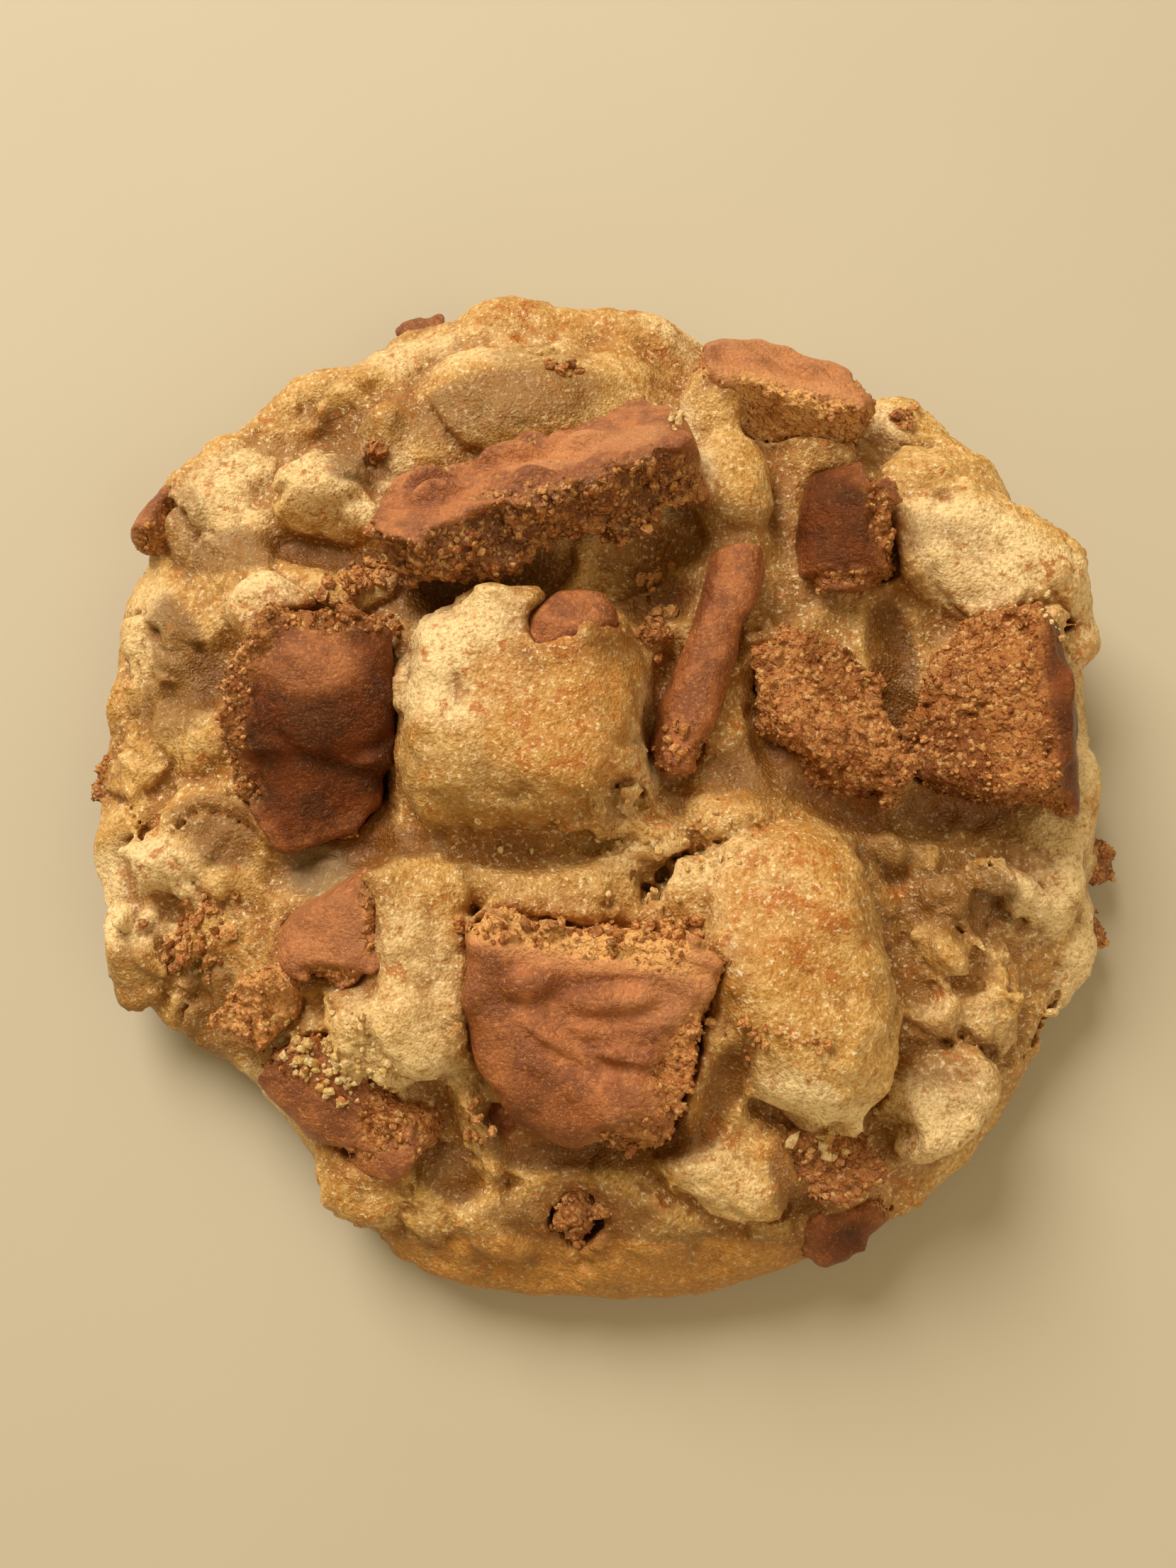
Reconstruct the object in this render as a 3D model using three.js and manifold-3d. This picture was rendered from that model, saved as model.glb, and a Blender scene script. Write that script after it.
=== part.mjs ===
/**
 * A thick, craggy drop cookie: one piece of dough with broken pieces of a spiced biscuit baked into it.
 *
 * Units are millimetres and +Z is up. The origin is under the middle of the cookie, on the surface it rests on.
 * Bearings are degrees turned from +X towards +Y, and names take +Y as north and +X as east.
 */
import * as THREE from "three";
import { mergeVertices } from "three/addons/utils/BufferGeometryUtils.js";
import Module from "manifold-3d";

const wasm = await Module();
wasm.setup();

// The dough's plain body, which its lumps rise from
const RIM_HEIGHT = 4; // height of the widest line round the edge
const FOOT_INSET = 2.5; // how far inside that line the flat underside ends
const SHOULDER_HEIGHT = 11.5; // top of the plain body near its edge
const CROWN_HEIGHT = 17; // top of the plain body at its middle
const EDGE_POWER = 9; // a higher power gives a tighter curve down to the rim
const BLEND = 1.4; // height over which one lump runs into the next
const HOLLOW_BLEND = 4; // how far outside its own outline a hollow fades out

// Resolution of the dough's surface
const SECTORS = 88;
const TOP_RINGS = 22;
const RING_SPACING = 1.25; // above 1 puts the rings closer together near the edge

// The broken pieces of biscuit
const BEVEL = 0.9; // rounding of a piece's edges
const BEVEL_STEPS = 2;
const CLEARANCE = 0.3; // gap between a piece and the dough round it
const MERGE_DISTANCE = 1e-4;

// Distance from the middle to the widest line, every 15 degrees from east
const OUTLINE = [
  50, 52, 51.1, 48.1, 48.8, 48.5, 51.2, 50.8, 51.9, 52.7, 53.1, 52.6,
  50.9, 51.9, 49.7, 46.7, 49.5, 51.4, 51.3, 51.4, 51.7, 51.6, 50.4, 50.5,
];

// Lumps of dough: x, y, top, half length, half width, bearing of the length, squareness (2 is an ellipse)
const LUMPS = [
  // the two large mounds, and the torn shelf that runs between them
  [-7.9, 3.6, 26, 11.6, 10.8, 0, 3.6],
  [-10.6, 14, 25.6, 1.7, 1.6, 0, 2],
  [-9.4, 12.4, 25, 4, 2.6, 10, 2.2],
  [17.7, -20, 24.5, 13.8, 8.6, 102, 2.6],
  [10.8, -27, 20.6, 8.4, 5.2, 65, 2.4],
  [8.5, -11.9, 20.5, 5.8, 4.2, 10, 2],
  [2.8, -8.1, 20.5, 6.2, 3, -25, 2.4],
  [11.7, -5.6, 19.5, 5.2, 2.8, 8, 2],
  // north edge
  [-6.1, 36.8, 17.5, 14.5, 8.5, 0, 2.2],
  [-5.1, 44.6, 13, 16, 5.4, 0, 2.3],
  [-27.1, 38.3, 13, 6.5, 5, 35, 2],
  [-20.5, 42.6, 12, 7, 5, 22, 2.2],
  [-31.6, 36.6, 12, 7.5, 5.4, 46, 2.2],
  [-40.4, 22, 12, 7, 6, 66, 2.2],
  [-22.6, 33.6, 15, 3.2, 3.2, 0, 2],
  [-27.3, 26.2, 17.5, 6.6, 4.2, -28, 2.2],
  // west edge
  [-38.8, 28.7, 13, 8.5, 6.5, 53, 2.2],
  [-43.6, 15.8, 12.5, 7.5, 5.5, 75, 2.2],
  [-32.6, 14.3, 19, 4.6, 4.4, 60, 2],
  [-27.6, 16.3, 17.5, 3.4, 2.2, -10, 2],
  [-47.4, 7.5, 9.5, 3.8, 3.2, 20, 2],
  [-45.3, 1.2, 12, 5.2, 3.8, 95, 2.4],
  [-38, 2.9, 14.5, 4.4, 3.4, 80, 2],
  [-40, -4.4, 14.5, 3.8, 3.3, 40, 2],
  [-47.5, -7, 10, 4.4, 3.6, 60, 2],
  // south-west lobe, a ring round a small hollow
  [-40.3, -9.5, 15, 6.4, 3.2, -20, 2],
  [-45.5, -16.7, 11, 7, 3.8, 105, 2.2],
  [-39.4, -23.5, 8.5, 5.4, 3.4, -35, 2],
  [-39.7, -17.1, 12.5, 3.2, 2.6, 0, 2],
  [-35.1, -11.1, 15, 3.4, 2.4, -10, 2],
  [-37.3, -21.9, 9.5, 2.4, 1.9, 20, 2],
  // plateau west of the large piece of biscuit, with a finger running south from it
  [-17.4, -19.2, 21, 10.6, 5.4, 92, 3.4],
  [-20.6, -25.7, 19.8, 5.6, 4.4, -25, 2.5],
  [-11.3, -34.5, 16.5, 4.8, 2.7, -65, 2],
  [-4.6, -11.3, 20.4, 9.4, 4.8, 0, 2.2],
  [-7, -8, 19.5, 9.5, 4, 0, 2.2],
  // south edge
  [-22.2, -39.7, 12, 6.6, 4.4, -25, 2],
  [-10.5, -42.4, 12.5, 6.6, 4.6, -10, 2],
  [-1.6, -46.1, 10.5, 5.6, 3.6, 0, 2],
  [5.2, -43.3, 12.8, 5, 4.2, 0, 2],
  [13.7, -43.7, 11.8, 5.6, 4.4, 15, 2],
  [10.4, -36.8, 17.2, 7.8, 5.2, -35, 3],
  [9.6, -31, 18.6, 6, 3.4, 60, 2],
  // the knobbly east side
  [26.3, -10.5, 17, 3.8, 2.6, 80, 2],
  [32.7, -13.4, 16, 3.8, 3.2, 20, 2],
  [30.4, -18.1, 16.8, 3.8, 3, 10, 2],
  [36.8, -11.9, 16, 4.4, 3.2, 15, 2],
  [42.5, -9.1, 13.5, 6.4, 4.2, 85, 2.4],
  [35.3, -23.6, 14.2, 5.6, 4.2, -40, 2.2],
  [45.4, -0.2, 11, 8.2, 4, 90, 2.4],
  [44.3, -16.9, 10, 7.4, 4, 72, 2.2],
  [29.6, -24.7, 15.4, 4.4, 4, 0, 2],
  [31.4, -32.1, 16.4, 6.4, 4.4, 42, 2.8],
  [30.4, -38.7, 8.5, 7, 3.4, 40, 2],
  // north-east
  [12.3, 26.9, 19.8, 4.9, 4.7, 0, 2.4],
  [10.5, 34.6, 17.6, 5.2, 2.7, 100, 2],
  [12.9, 21.9, 17.4, 4, 3, 20, 2],
  [21.7, 31.3, 15.4, 4, 2.4, -10, 2],
  [31.9, 34.9, 12, 6.6, 4, -42, 2],
  [37, 29.6, 12.5, 6.4, 4.6, -48, 2.2],
  [36.8, 21, 18.4, 11.4, 7, -35, 3.6],
  [46.9, 12.9, 13.5, 4.6, 4, 70, 2],
  [43.6, 17, 15.4, 6.4, 5, -48, 2.4],
  // low ground between the pieces
  [21.2, 14.9, 16.2, 6.4, 3.6, 0, 2],
  [27.2, 10.7, 15.8, 5.2, 3.6, 100, 2],
  [3.5, 12.2, 16, 3.8, 3.4, 0, 2],
  [13.9, 4.3, 15, 6, 4, 80, 2],
  [15.8, -2, 17, 4.2, 2.7, 10, 2],
  [3.6, -3.4, 17, 5, 3, 40, 2.2],
];

// Hollows between the lumps: x, y, depth, half length, half width, bearing of the length
const HOLLOWS = [
  [-11.6, 17.8, 5, 7, 1.8, 10],
  [2.9, 19.3, 3.5, 4.5, 2.4, 20],
  [-41.7, -15.7, 4, 3.6, 1, 100],
  [-33.1, -27.2, 4, 3, 1.2, -40],
  [-14.6, -34.2, 4, 4, 0.8, -40],
  [-9.3, -31.7, 3.5, 2.4, 1, -55],
  [26.1, -34.7, 5, 1.4, 1.2, 60],
  [-2.7, -41.7, 2.5, 1.6, 1.2, 0],
  [35.4, -4.3, 3, 5, 1.4, 0],
  [27.4, -16, 3.5, 9, 0.8, 104],
  [6.2, 3, 4, 8, 0.6, 92],
  [-5, -8.6, 3, 8, 0.5, 2],
  [30, -27.6, 3, 4, 0.8, -30],
  [-27, 21.4, 3.5, 6, 0.8, -14],
  [5, 16, 3, 2.6, 1.6, 20],
  [-25.4, -8, 3.5, 4.6, 1.4, -16],
  [-41.4, 8, 2, 3.4, 0.8, 60],
  [28.2, 10, 2.5, 5, 1, 95],
  [16.4, 3, 3, 5, 0.6, 96],
  [22, -4.4, 3, 5, 0.8, -30],
  [33, -5.4, 2.5, 5, 1, 0],
  [-15, -37.6, 3, 3.6, 0.8, -40],
  [-4, -36.6, 2.5, 6, 0.6, -4],
  [10.4, -31.5, 2.5, 3.4, 0.5, 66],
  [-22, -17.5, 2.5, 4, 0.5, 84],
  [-27, 33, 2, 3.4, 0.6, 100],
  [-37.6, 9.5, 2.6, 2.8, 1.2, 60],
  [-22.4, -5.4, 3, 3.4, 1, 70],
  [-28, -9.8, 2.4, 3, 1.4, 20],
  [33, -1, 3, 4, 1.2, -40],
  [30, 3, 4, 6, 1, -60],
  [0, -35.4, 3, 8, 0.8, 4],
  [42, -19.6, 2.4, 3, 1, -30],
];

// Pieces of biscuit. at is the middle of the piece, thick its thickness across the biscuit's baked faces, and
// lean the bearing and angle that its upper face leans by. sides are the flat sides round it, each a bearing
// and a distance from the middle, in order round the piece.
const PIECES = {
  biscuit_long: {
    at: [-6.2, 24.2, 20.6], thick: 8, lean: [110, 38],
    sides: [[20, 15.3], [61, 13.4], [107, 5.8], [153, 12.4], [200, 15.3], [246, 12.6], [290, 5.2], [337, 13.4]],
  },
  biscuit_dark: {
    at: [-27.2, 2.9, 16], thick: 8, lean: [-70, 18],
    sides: [[0, 7.3], [50, 11], [95, 12], [140, 10.6], [185, 8.8], [230, 10.4], [270, 11], [320, 9.6]],
  },
  biscuit_large: {
    at: [-0.6, -25.2, 18.6], thick: 7.5, lean: [-100, 12],
    sides: [[59, 11.6], [81, 9.6], [135, 14.4], [180, 12], [222, 10.9], [262, 11], [303, 12], [346, 9.8]],
  },
  biscuit_east: {
    at: [36.5, 4.3, 16.4], thick: 7.5, lean: [185, 21],
    sides: [[-1, 7.6], [26, 8.5], [99, 9.4], [155, 5.6], [199, 8.2], [264, 7.8], [327, 9.5]],
  },
  biscuit_inner_east: {
    at: [20.9, 2.9, 16.2], thick: 7, lean: [40, 5],
    sides: [[0, 7.4], [28, 4.7], [73, 7.5], [138, 9.8], [183, 6.8], [222, 3.9], [253, 5.2], [310, 9.4]],
  },
  biscuit_stick: {
    at: [9.8, 9.7, 16.8], thick: 7, lean: [-17, 8],
    sides: [[-17, 2.4], [28, 9], [73, 11.4], [118, 9], [163, 2.4], [208, 9], [253, 11.4], [298, 9]],
  },
  biscuit_north_east: {
    at: [23, 22.1, 16.6], thick: 7, lean: [235, 22],
    sides: [[12, 5.4], [50, 5.8], [100, 6.2], [180, 4.6], [260, 4.9], [295, 6.8]],
  },
  biscuit_north_rim: {
    at: [18, 37.6, 14], thick: 7.5, lean: [72, 24],
    sides: [[-18, 8.3], [30, 7.6], [72, 4.4], [115, 8], [162, 8.2], [205, 8], [252, 4.2], [300, 8]],
  },
  biscuit_south_west: {
    at: [-25.7, -16.5, 15.6], thick: 6.5, lean: [215, 18],
    sides: [[0, 6.1], [50, 7.1], [120, 3.6], [180, 5.9], [225, 5.6], [259, 4.8], [318, 6]],
  },
  biscuit_west_crumb: {
    at: [-31.4, -23.5, 13.4], thick: 4.5, lean: [250, 10],
    sides: [[20, 4], [65, 3.4], [110, 2.1], [155, 3.5], [200, 3.9], [245, 3.2], [290, 2], [335, 3.3]],
  },
  biscuit_south_west_rim: {
    at: [-24.5, -31.6, 11], thick: 7, lean: [232, 25],
    sides: [[-38, 7.8], [7, 7.6], [52, 4.3], [97, 6.8], [142, 7.3], [187, 7], [232, 4.4], [277, 7]],
  },
  biscuit_south_east_rim: {
    at: [22.2, -42.9, 7.8], thick: 6.5, lean: [-65, 30],
    sides: [[0, 3.9], [60, 3.8], [110, 3], [180, 4.2], [240, 3.8], [290, 3.4], [335, 3.9]],
  },
  biscuit_south_east: {
    at: [20, -36.9, 12.4], thick: 5, lean: [-80, 10],
    sides: [[0, 3.8], [70, 2.6], [120, 3.2], [180, 4], [250, 2.6], [305, 3.4]],
  },
  biscuit_south_rim: {
    at: [-2.7, -42.4, 10.6], thick: 4, lean: [-90, 25],
    sides: [[0, 2.9], [60, 2.6], [120, 2.6], [180, 2.8], [240, 2.5], [300, 2.6]],
  },
  biscuit_north_west_rim: {
    at: [-44.7, 26.8, 9.4], thick: 5, lean: [150, 30],
    sides: [[60, 3.4], [105, 2.6], [150, 1.6], [240, 3.4], [285, 2.6], [330, 1.6]],
  },
  biscuit_mound: {
    at: [-3.2, 11.4, 22.5], thick: 5, lean: [70, 14],
    sides: [[20, 5], [65, 3.6], [115, 3.2], [160, 4.5], [200, 4.9], [290, 3.2], [335, 4.5]],
  },
  biscuit_crevice: {
    at: [-9.2, -33.1, 9.6], thick: 5, lean: [200, 20],
    sides: [[30, 1.9], [75, 2.3], [120, 2.6], [210, 1.8], [255, 2.3], [300, 2.6]],
  },
  biscuit_east_rim: {
    at: [50.1, -8.5, 3.6], thick: 3.6, lean: [0, 15],
    sides: [[0, 1.9], [65, 2.2], [110, 2.4], [180, 2.6], [250, 2.4], [305, 2.2]],
  },
  biscuit_east_rim_small: {
    at: [48.7, -15.7, 3.4], thick: 2.8, lean: [-20, 10],
    sides: [[0, 1.5], [70, 1.6], [130, 1.5], [190, 1.7], [250, 1.5], [310, 1.4]],
  },
  biscuit_west_rim: {
    at: [-50.4, -0.3, 5.2], thick: 3, lean: [180, 20],
    sides: [[0, 1.8], [60, 1.9], [115, 2], [180, 1.7], [245, 2.1], [300, 1.9]],
  },
  biscuit_north_rim_small: {
    at: [-18.5, 47.7, 6.4], thick: 3.2, lean: [110, 25],
    sides: [[20, 2], [65, 1.7], [110, 1.5], [160, 1.8], [200, 2], [290, 1.7]],
  },
};

const DOUGH_COLOUR = 0xc99a5e;
const BISCUIT_COLOUR = 0x9a5c2e;

const radians = THREE.MathUtils.degToRad;

/** The larger of two heights, with the corner where they cross rounded off. */
function smoothMax(a, b) {
  const overlap = Math.max(BLEND - Math.abs(a - b), 0) / BLEND;
  return Math.max(a, b) + (overlap * overlap * BLEND) / 4;
}

/** Distance from the middle to the widest line on a bearing, by a cubic through the nearest four in OUTLINE. */
function outlineRadius(bearing) {
  const place = ((bearing / (2 * Math.PI) + 1) % 1) * OUTLINE.length;
  const first = Math.floor(place);
  const [a, b, c, d] = [-1, 0, 1, 2].map((step) => OUTLINE[(first + step + OUTLINE.length) % OUTLINE.length]);
  const t = place - first;
  return b + 0.5 * t * (c - a + t * (2 * a - 5 * b + 4 * c - d + t * (3 * (b - c) + d - a)));
}

/** How far out a point lies in an ellipse or squarer outline: 0 in its middle and 1 on its edge. */
function spread(x, y, middleX, middleY, halfLength, halfWidth, bearing, power = 2) {
  const cos = Math.cos(radians(bearing));
  const sin = Math.sin(radians(bearing));
  const along = ((x - middleX) * cos + (y - middleY) * sin) / halfLength;
  const across = ((y - middleY) * cos - (x - middleX) * sin) / halfWidth;
  return (Math.abs(along) ** power + Math.abs(across) ** power) ** (1 / power);
}

/** Height of a lump's surface over a point: a dome as deep as half its width, that falls away outside it. */
function lumpHeight([middleX, middleY, top, halfLength, halfWidth, bearing, power], x, y) {
  const out = spread(x, y, middleX, middleY, halfLength, halfWidth, bearing, power);
  const dome = Math.max(1 - out ** power, 0) ** (1 / power);
  return top - halfWidth * (1 - dome) - halfWidth * Math.max(out - 1, 0);
}

/** How far the hollows lower the surface at a point. */
function hollowDepth(x, y) {
  const depths = HOLLOWS.map(([middleX, middleY, depth, halfLength, halfWidth, bearing]) => {
    const wide = [halfLength + HOLLOW_BLEND / 2, halfWidth + HOLLOW_BLEND / 2];
    const out = spread(x, y, middleX, middleY, ...wide, bearing);
    return depth * Math.max(1 - out * out, 0);
  });
  return Math.max(...depths);
}

/** Height of the dough's upper surface; out is 0 in the middle and 1 on the widest line. */
function doughHeight(x, y, out) {
  const plain = SHOULDER_HEIGHT + (CROWN_HEIGHT - SHOULDER_HEIGHT) * (1 - out * out);
  const lumpy = LUMPS.reduce((height, lump) => smoothMax(height, lumpHeight(lump, x, y)), plain);
  const edge = Math.sqrt(1 - out ** EDGE_POWER);
  return RIM_HEIGHT + (lumpy - hollowDepth(x, y) - RIM_HEIGHT) * edge;
}

/** The rings that make up the dough: each a share of the outline, and a height where the lumps don't set it. */
function doughRings() {
  const underside = [
    { share: 0, height: 0 },
    { share: 1, inset: FOOT_INSET, height: 0 },
    { share: 1, inset: FOOT_INSET / 4, height: RIM_HEIGHT / 3 },
  ];
  const upperside = Array.from({ length: TOP_RINGS + 1 }, (_, ring) => {
    const share = 1 - (ring / TOP_RINGS) ** RING_SPACING;
    return ring === 0 ? { share, height: RIM_HEIGHT } : { share };
  });
  return [...underside, ...upperside];
}

/** The dough before room is made for the biscuit: a turned disc, with its edge and top moved to shape. */
function doughGeometry() {
  const rings = doughRings();
  const profile = rings.map(({ share, height = CROWN_HEIGHT }) => new THREE.Vector2(share, height));
  const geometry = new THREE.LatheGeometry(profile, SECTORS);
  const position = geometry.getAttribute("position");
  for (let index = 0; index < position.count; index += 1) {
    const { share, inset = 0, height } = rings[index % rings.length];
    const bearing = (2 * Math.PI * Math.floor(index / rings.length)) / SECTORS;
    const reach = share * outlineRadius(bearing) - inset;
    const x = reach * Math.cos(bearing);
    const y = reach * Math.sin(bearing);
    position.setXYZ(index, x, y, height ?? doughHeight(x, y, share));
  }
  return geometry;
}

/** The corner where two sides of a piece meet. */
function corner([bearingA, distanceA], [bearingB, distanceB]) {
  const [a, b] = [radians(bearingA), radians(bearingB)];
  const size = Math.sin(b - a);
  const x = (distanceA * Math.sin(b) - distanceB * Math.sin(a)) / size;
  const y = (distanceB * Math.cos(a) - distanceA * Math.cos(b)) / size;
  return new THREE.Vector2(x, y);
}

/** A piece of biscuit about its own middle, or the room it needs if extra is the clearance round it. */
function plateGeometry({ thick, sides }, extra = 0) {
  const grown = sides.map(([bearing, distance]) => [bearing, distance + extra]);
  const outline = new THREE.Shape(grown.map((side, place) => corner(side, grown[(place + 1) % grown.length])));
  const thickness = thick + 2 * extra;
  const geometry = new THREE.ExtrudeGeometry(outline, {
    depth: thickness - 2 * BEVEL,
    bevelThickness: BEVEL,
    bevelSize: BEVEL,
    bevelOffset: -BEVEL,
    bevelSegments: BEVEL_STEPS,
  });
  return geometry.translate(0, 0, BEVEL - thickness / 2);
}

/** Puts a piece in its place in the cookie, leaning as it lies there. */
function place(object, { at, lean: [bearing, angle] }) {
  const hinge = new THREE.Vector3(-Math.sin(radians(bearing)), Math.cos(radians(bearing)), 0);
  object.position.set(...at);
  object.quaternion.setFromAxisAngle(hinge, radians(angle));
  object.updateMatrix();
  return object;
}

/** A closed mesh as a solid that can be cut: only positions, shared corners merged, no collapsed triangles. */
function solidOf(geometry) {
  const bare = new THREE.BufferGeometry();
  bare.setAttribute("position", geometry.getAttribute("position"));
  bare.setIndex(geometry.getIndex());
  const merged = mergeVertices(bare, MERGE_DISTANCE);
  const corners = merged.getIndex().array;
  const kept = [];
  for (let first = 0; first < corners.length; first += 3) {
    const triangle = corners.slice(first, first + 3);
    if (new Set(triangle).size === 3) kept.push(...triangle);
  }
  const vertProperties = merged.getAttribute("position").array;
  return new wasm.Manifold(new wasm.Mesh({ numProp: 3, vertProperties, triVerts: Uint32Array.from(kept) }));
}

/** A solid back as a three.js geometry. */
function geometryOf(solid) {
  const { vertProperties, triVerts } = solid.getMesh();
  const geometry = new THREE.BufferGeometry();
  geometry.setAttribute("position", new THREE.BufferAttribute(vertProperties, 3));
  geometry.setIndex(new THREE.BufferAttribute(triVerts, 1));
  geometry.computeVertexNormals();
  return geometry;
}

/** The dough, with room cut for every piece of biscuit. */
function makeDough() {
  const rooms = Object.values(PIECES).map((piece) => {
    const room = place(new THREE.Object3D(), piece);
    return solidOf(plateGeometry(piece, CLEARANCE).applyMatrix4(room.matrix));
  });
  const dough = rooms.reduce((solid, room) => solid.subtract(room), solidOf(doughGeometry()));
  const mesh = new THREE.Mesh(geometryOf(dough), new THREE.MeshStandardMaterial({ color: DOUGH_COLOUR }));
  mesh.name = "dough";
  mesh.material.roughness = 0.75;
  return mesh;
}

/** One broken piece of biscuit in its place. */
function makeBiscuit([name, piece]) {
  const material = new THREE.MeshStandardMaterial({ color: BISCUIT_COLOUR, roughness: 0.6 });
  const mesh = place(new THREE.Mesh(geometryOf(solidOf(plateGeometry(piece))), material), piece);
  mesh.name = name;
  return mesh;
}

/** The whole cookie, moved so that its box is centred over the origin. */
function makeCookie() {
  const cookie = new THREE.Group();
  cookie.add(makeDough(), ...Object.entries(PIECES).map(makeBiscuit));
  const middle = new THREE.Box3().setFromObject(cookie, true).getCenter(new THREE.Vector3());
  cookie.position.set(-middle.x, -middle.y, 0);
  return cookie;
}

export default makeCookie();
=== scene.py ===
"""A thick, craggy drop cookie with broken pieces of spiced biscuit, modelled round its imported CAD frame.

The dough and each piece of biscuit are worked out as distance fields on a grid, in millimetres: negative
inside, positive outside. Each field is turned into a mesh in metres. Bearings are degrees turned from +X
towards +Y, and names take +Y as north and +X as east. An oval is given as the x and y of its middle, half
its length, half its width, and the bearing of its length.
"""

import math
from typing import NamedTuple

import bmesh
import bpy
import numpy as np
import openvdb
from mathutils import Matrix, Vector


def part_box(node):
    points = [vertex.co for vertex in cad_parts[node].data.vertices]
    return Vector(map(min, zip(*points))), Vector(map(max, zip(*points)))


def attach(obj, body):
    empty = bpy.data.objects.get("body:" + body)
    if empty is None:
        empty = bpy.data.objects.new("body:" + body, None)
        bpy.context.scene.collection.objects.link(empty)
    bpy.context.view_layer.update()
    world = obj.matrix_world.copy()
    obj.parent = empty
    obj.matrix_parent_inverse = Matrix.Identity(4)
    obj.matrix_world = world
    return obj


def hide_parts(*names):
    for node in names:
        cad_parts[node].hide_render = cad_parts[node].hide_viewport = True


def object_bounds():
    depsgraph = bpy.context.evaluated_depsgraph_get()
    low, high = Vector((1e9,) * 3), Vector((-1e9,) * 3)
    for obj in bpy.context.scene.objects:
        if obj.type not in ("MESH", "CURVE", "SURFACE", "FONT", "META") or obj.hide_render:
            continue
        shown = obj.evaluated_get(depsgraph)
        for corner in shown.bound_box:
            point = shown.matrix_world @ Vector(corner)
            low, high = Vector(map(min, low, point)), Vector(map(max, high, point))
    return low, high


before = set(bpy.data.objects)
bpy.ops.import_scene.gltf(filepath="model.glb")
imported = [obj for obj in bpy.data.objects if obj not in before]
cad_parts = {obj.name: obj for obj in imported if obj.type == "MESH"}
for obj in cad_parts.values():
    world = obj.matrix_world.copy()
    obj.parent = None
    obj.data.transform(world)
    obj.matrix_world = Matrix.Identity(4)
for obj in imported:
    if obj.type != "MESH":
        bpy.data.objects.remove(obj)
cad_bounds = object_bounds()

MM = 0.001
FAR = 99  # millimetres, further than anything reaches
CAD_LOW, CAD_HIGH = (np.array(corner) / MM for corner in cad_bounds)

# Random draws: each starts from SEED plus a number
SEED = 7
FIRST_PIECE_SEED = 100
NEXT_PIECE_SEED = 10
BEND_SEED = 500
CRUMB_SEEDS = {"biscuit": (51, 52), "dough": (53, 54)}
GRAIN_SEED = 50

# Camera: millimetres, degrees, and where it aims from the middle of the object
SENSOR_SIZE = 36
CAMERA_LENS = 32.55
CAMERA_DISTANCE = 138
CAMERA_ELEVATION = 80
CAMERA_AIM = Vector((-1.6, -1.7, -1.4))
CAMERA_NEAR = 10

# Lights: place and diameter in metres, power and colour, and the point that they are turned to
LIGHTS = {
    "window": ((-0.32, 0.50, 0.56), 0.5, 7.9, (1, 0.985, 0.96)),
    "fill": ((0.42, -0.30, 0.40), 0.6, 1.1, (1, 0.96, 0.9)),
}
LIGHT_AIM = (0, 0, 0.012)
ROOM_STRENGTH = 0.38
ROOM_COLOUR = (1, 0.79, 0.36, 1)

# Floor: its side in metres, and how many millimetres it lies below the cookie
FLOOR_SIZE = 2.4
FLOOR_GAP = 0.03

# Grids: their steps, and how far they reach past the CAD node. FLATNESS spares triangles where it is flat.
DOUGH_STEP = 0.48
DOUGH_MARGIN = 1.5
BISCUIT_STEP = 0.27
BISCUIT_MARGIN = 1.2
FLATNESS = 0.04

# Widths over which edges are rounded: between broken faces, where skin meets them, and at the CAD box
BROKEN_EDGE = 0.8
SKIN_EDGE = 0.5
BOXED_BISCUIT_EDGE = 0.6
BOXED_DOUGH_EDGE = 2.0

# Noise on a piece of biscuit, in layers of (depth, cell, seed): the warp of its broken faces, which its skin
# has a share of, and the leathery grain of its skin
WARP = ((0.4, 3.4, 0), (0.3, 1.7, 1))
SKIN_WARP = 0.2
LEATHER = ((0.07, 0.9, 6), (0.09, 2.2, 7), (0.12, 5, 11))

# The crumb of its broken faces: how far from them it is worked out, its grains, specks and pits, and the
# depth of a bare patch
GRAIN_REACH = 1.8
GRAIN_SIZE = 1.5
SPECK_SIZE = 0.8
SPECK_DEPTH = 0.45
PIT_SIZE = 1.3
PIT_DEPTH = 0.3
BARE_DEPTH = 0.5

# The groove round each oval of moulded relief: how far out it runs, where 1 is the oval's edge
GROOVE_AT = 1.12
GROOVE_DEPTH = 0.45
GROOVE_WIDTH = 0.5

# The dough's plain body, which its lumps rise from
RIM_HEIGHT = 4.0
FOOT_SLOPE = 0.61
SHOULDER_HEIGHT = 11.5
CROWN_HEIGHT = 17.0
EDGE_POWER = 9

# How far the dough's lumps and hollows run together, how much less the lumps do where it is torn, and how
# far past its ends a lump is worked out
LUMP_BLEND = 1.3
TORN_BLEND = 0.8
LUMP_REACH = 5
HOLLOW_BLEND = 4.0

# How the dough closes up to a piece of biscuit: the width of its collar and how far that stays off, how far
# the dough laps into the piece and how far round it the dough is made darker, the widths over which the
# piece, the opening above it and the cut are rounded, and how far round the piece this is worked out
COLLAR = 2.8
COLLAR_GAP = 0.3
OVERLAP = 0.9
DARKER_NEAR_PIECE_REACH = 2.6
PIECE_EDGE = 1.0
OPENING_EDGE = 2.0
CUT_EDGE = 0.5
PIECE_REACH = 6

# Waves that push the dough's surface sideways: broad ones, ones that are stronger where it is knobbly, and
# ones where it is torn. RISING_WAVE moves it up and down.
WAVE_CELLS = (6, 2.6, 1.3)
WAVE_SEEDS = {"x": (11, 12, 17), "y": (13, 14, 18)}
BROAD_WAVE = 0.4
PLAIN_WAVE = 0.08
KNOBBLY_WAVE = 0.35
TORN_WAVE = 0.5
RISING_WAVE = 0.35

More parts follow.
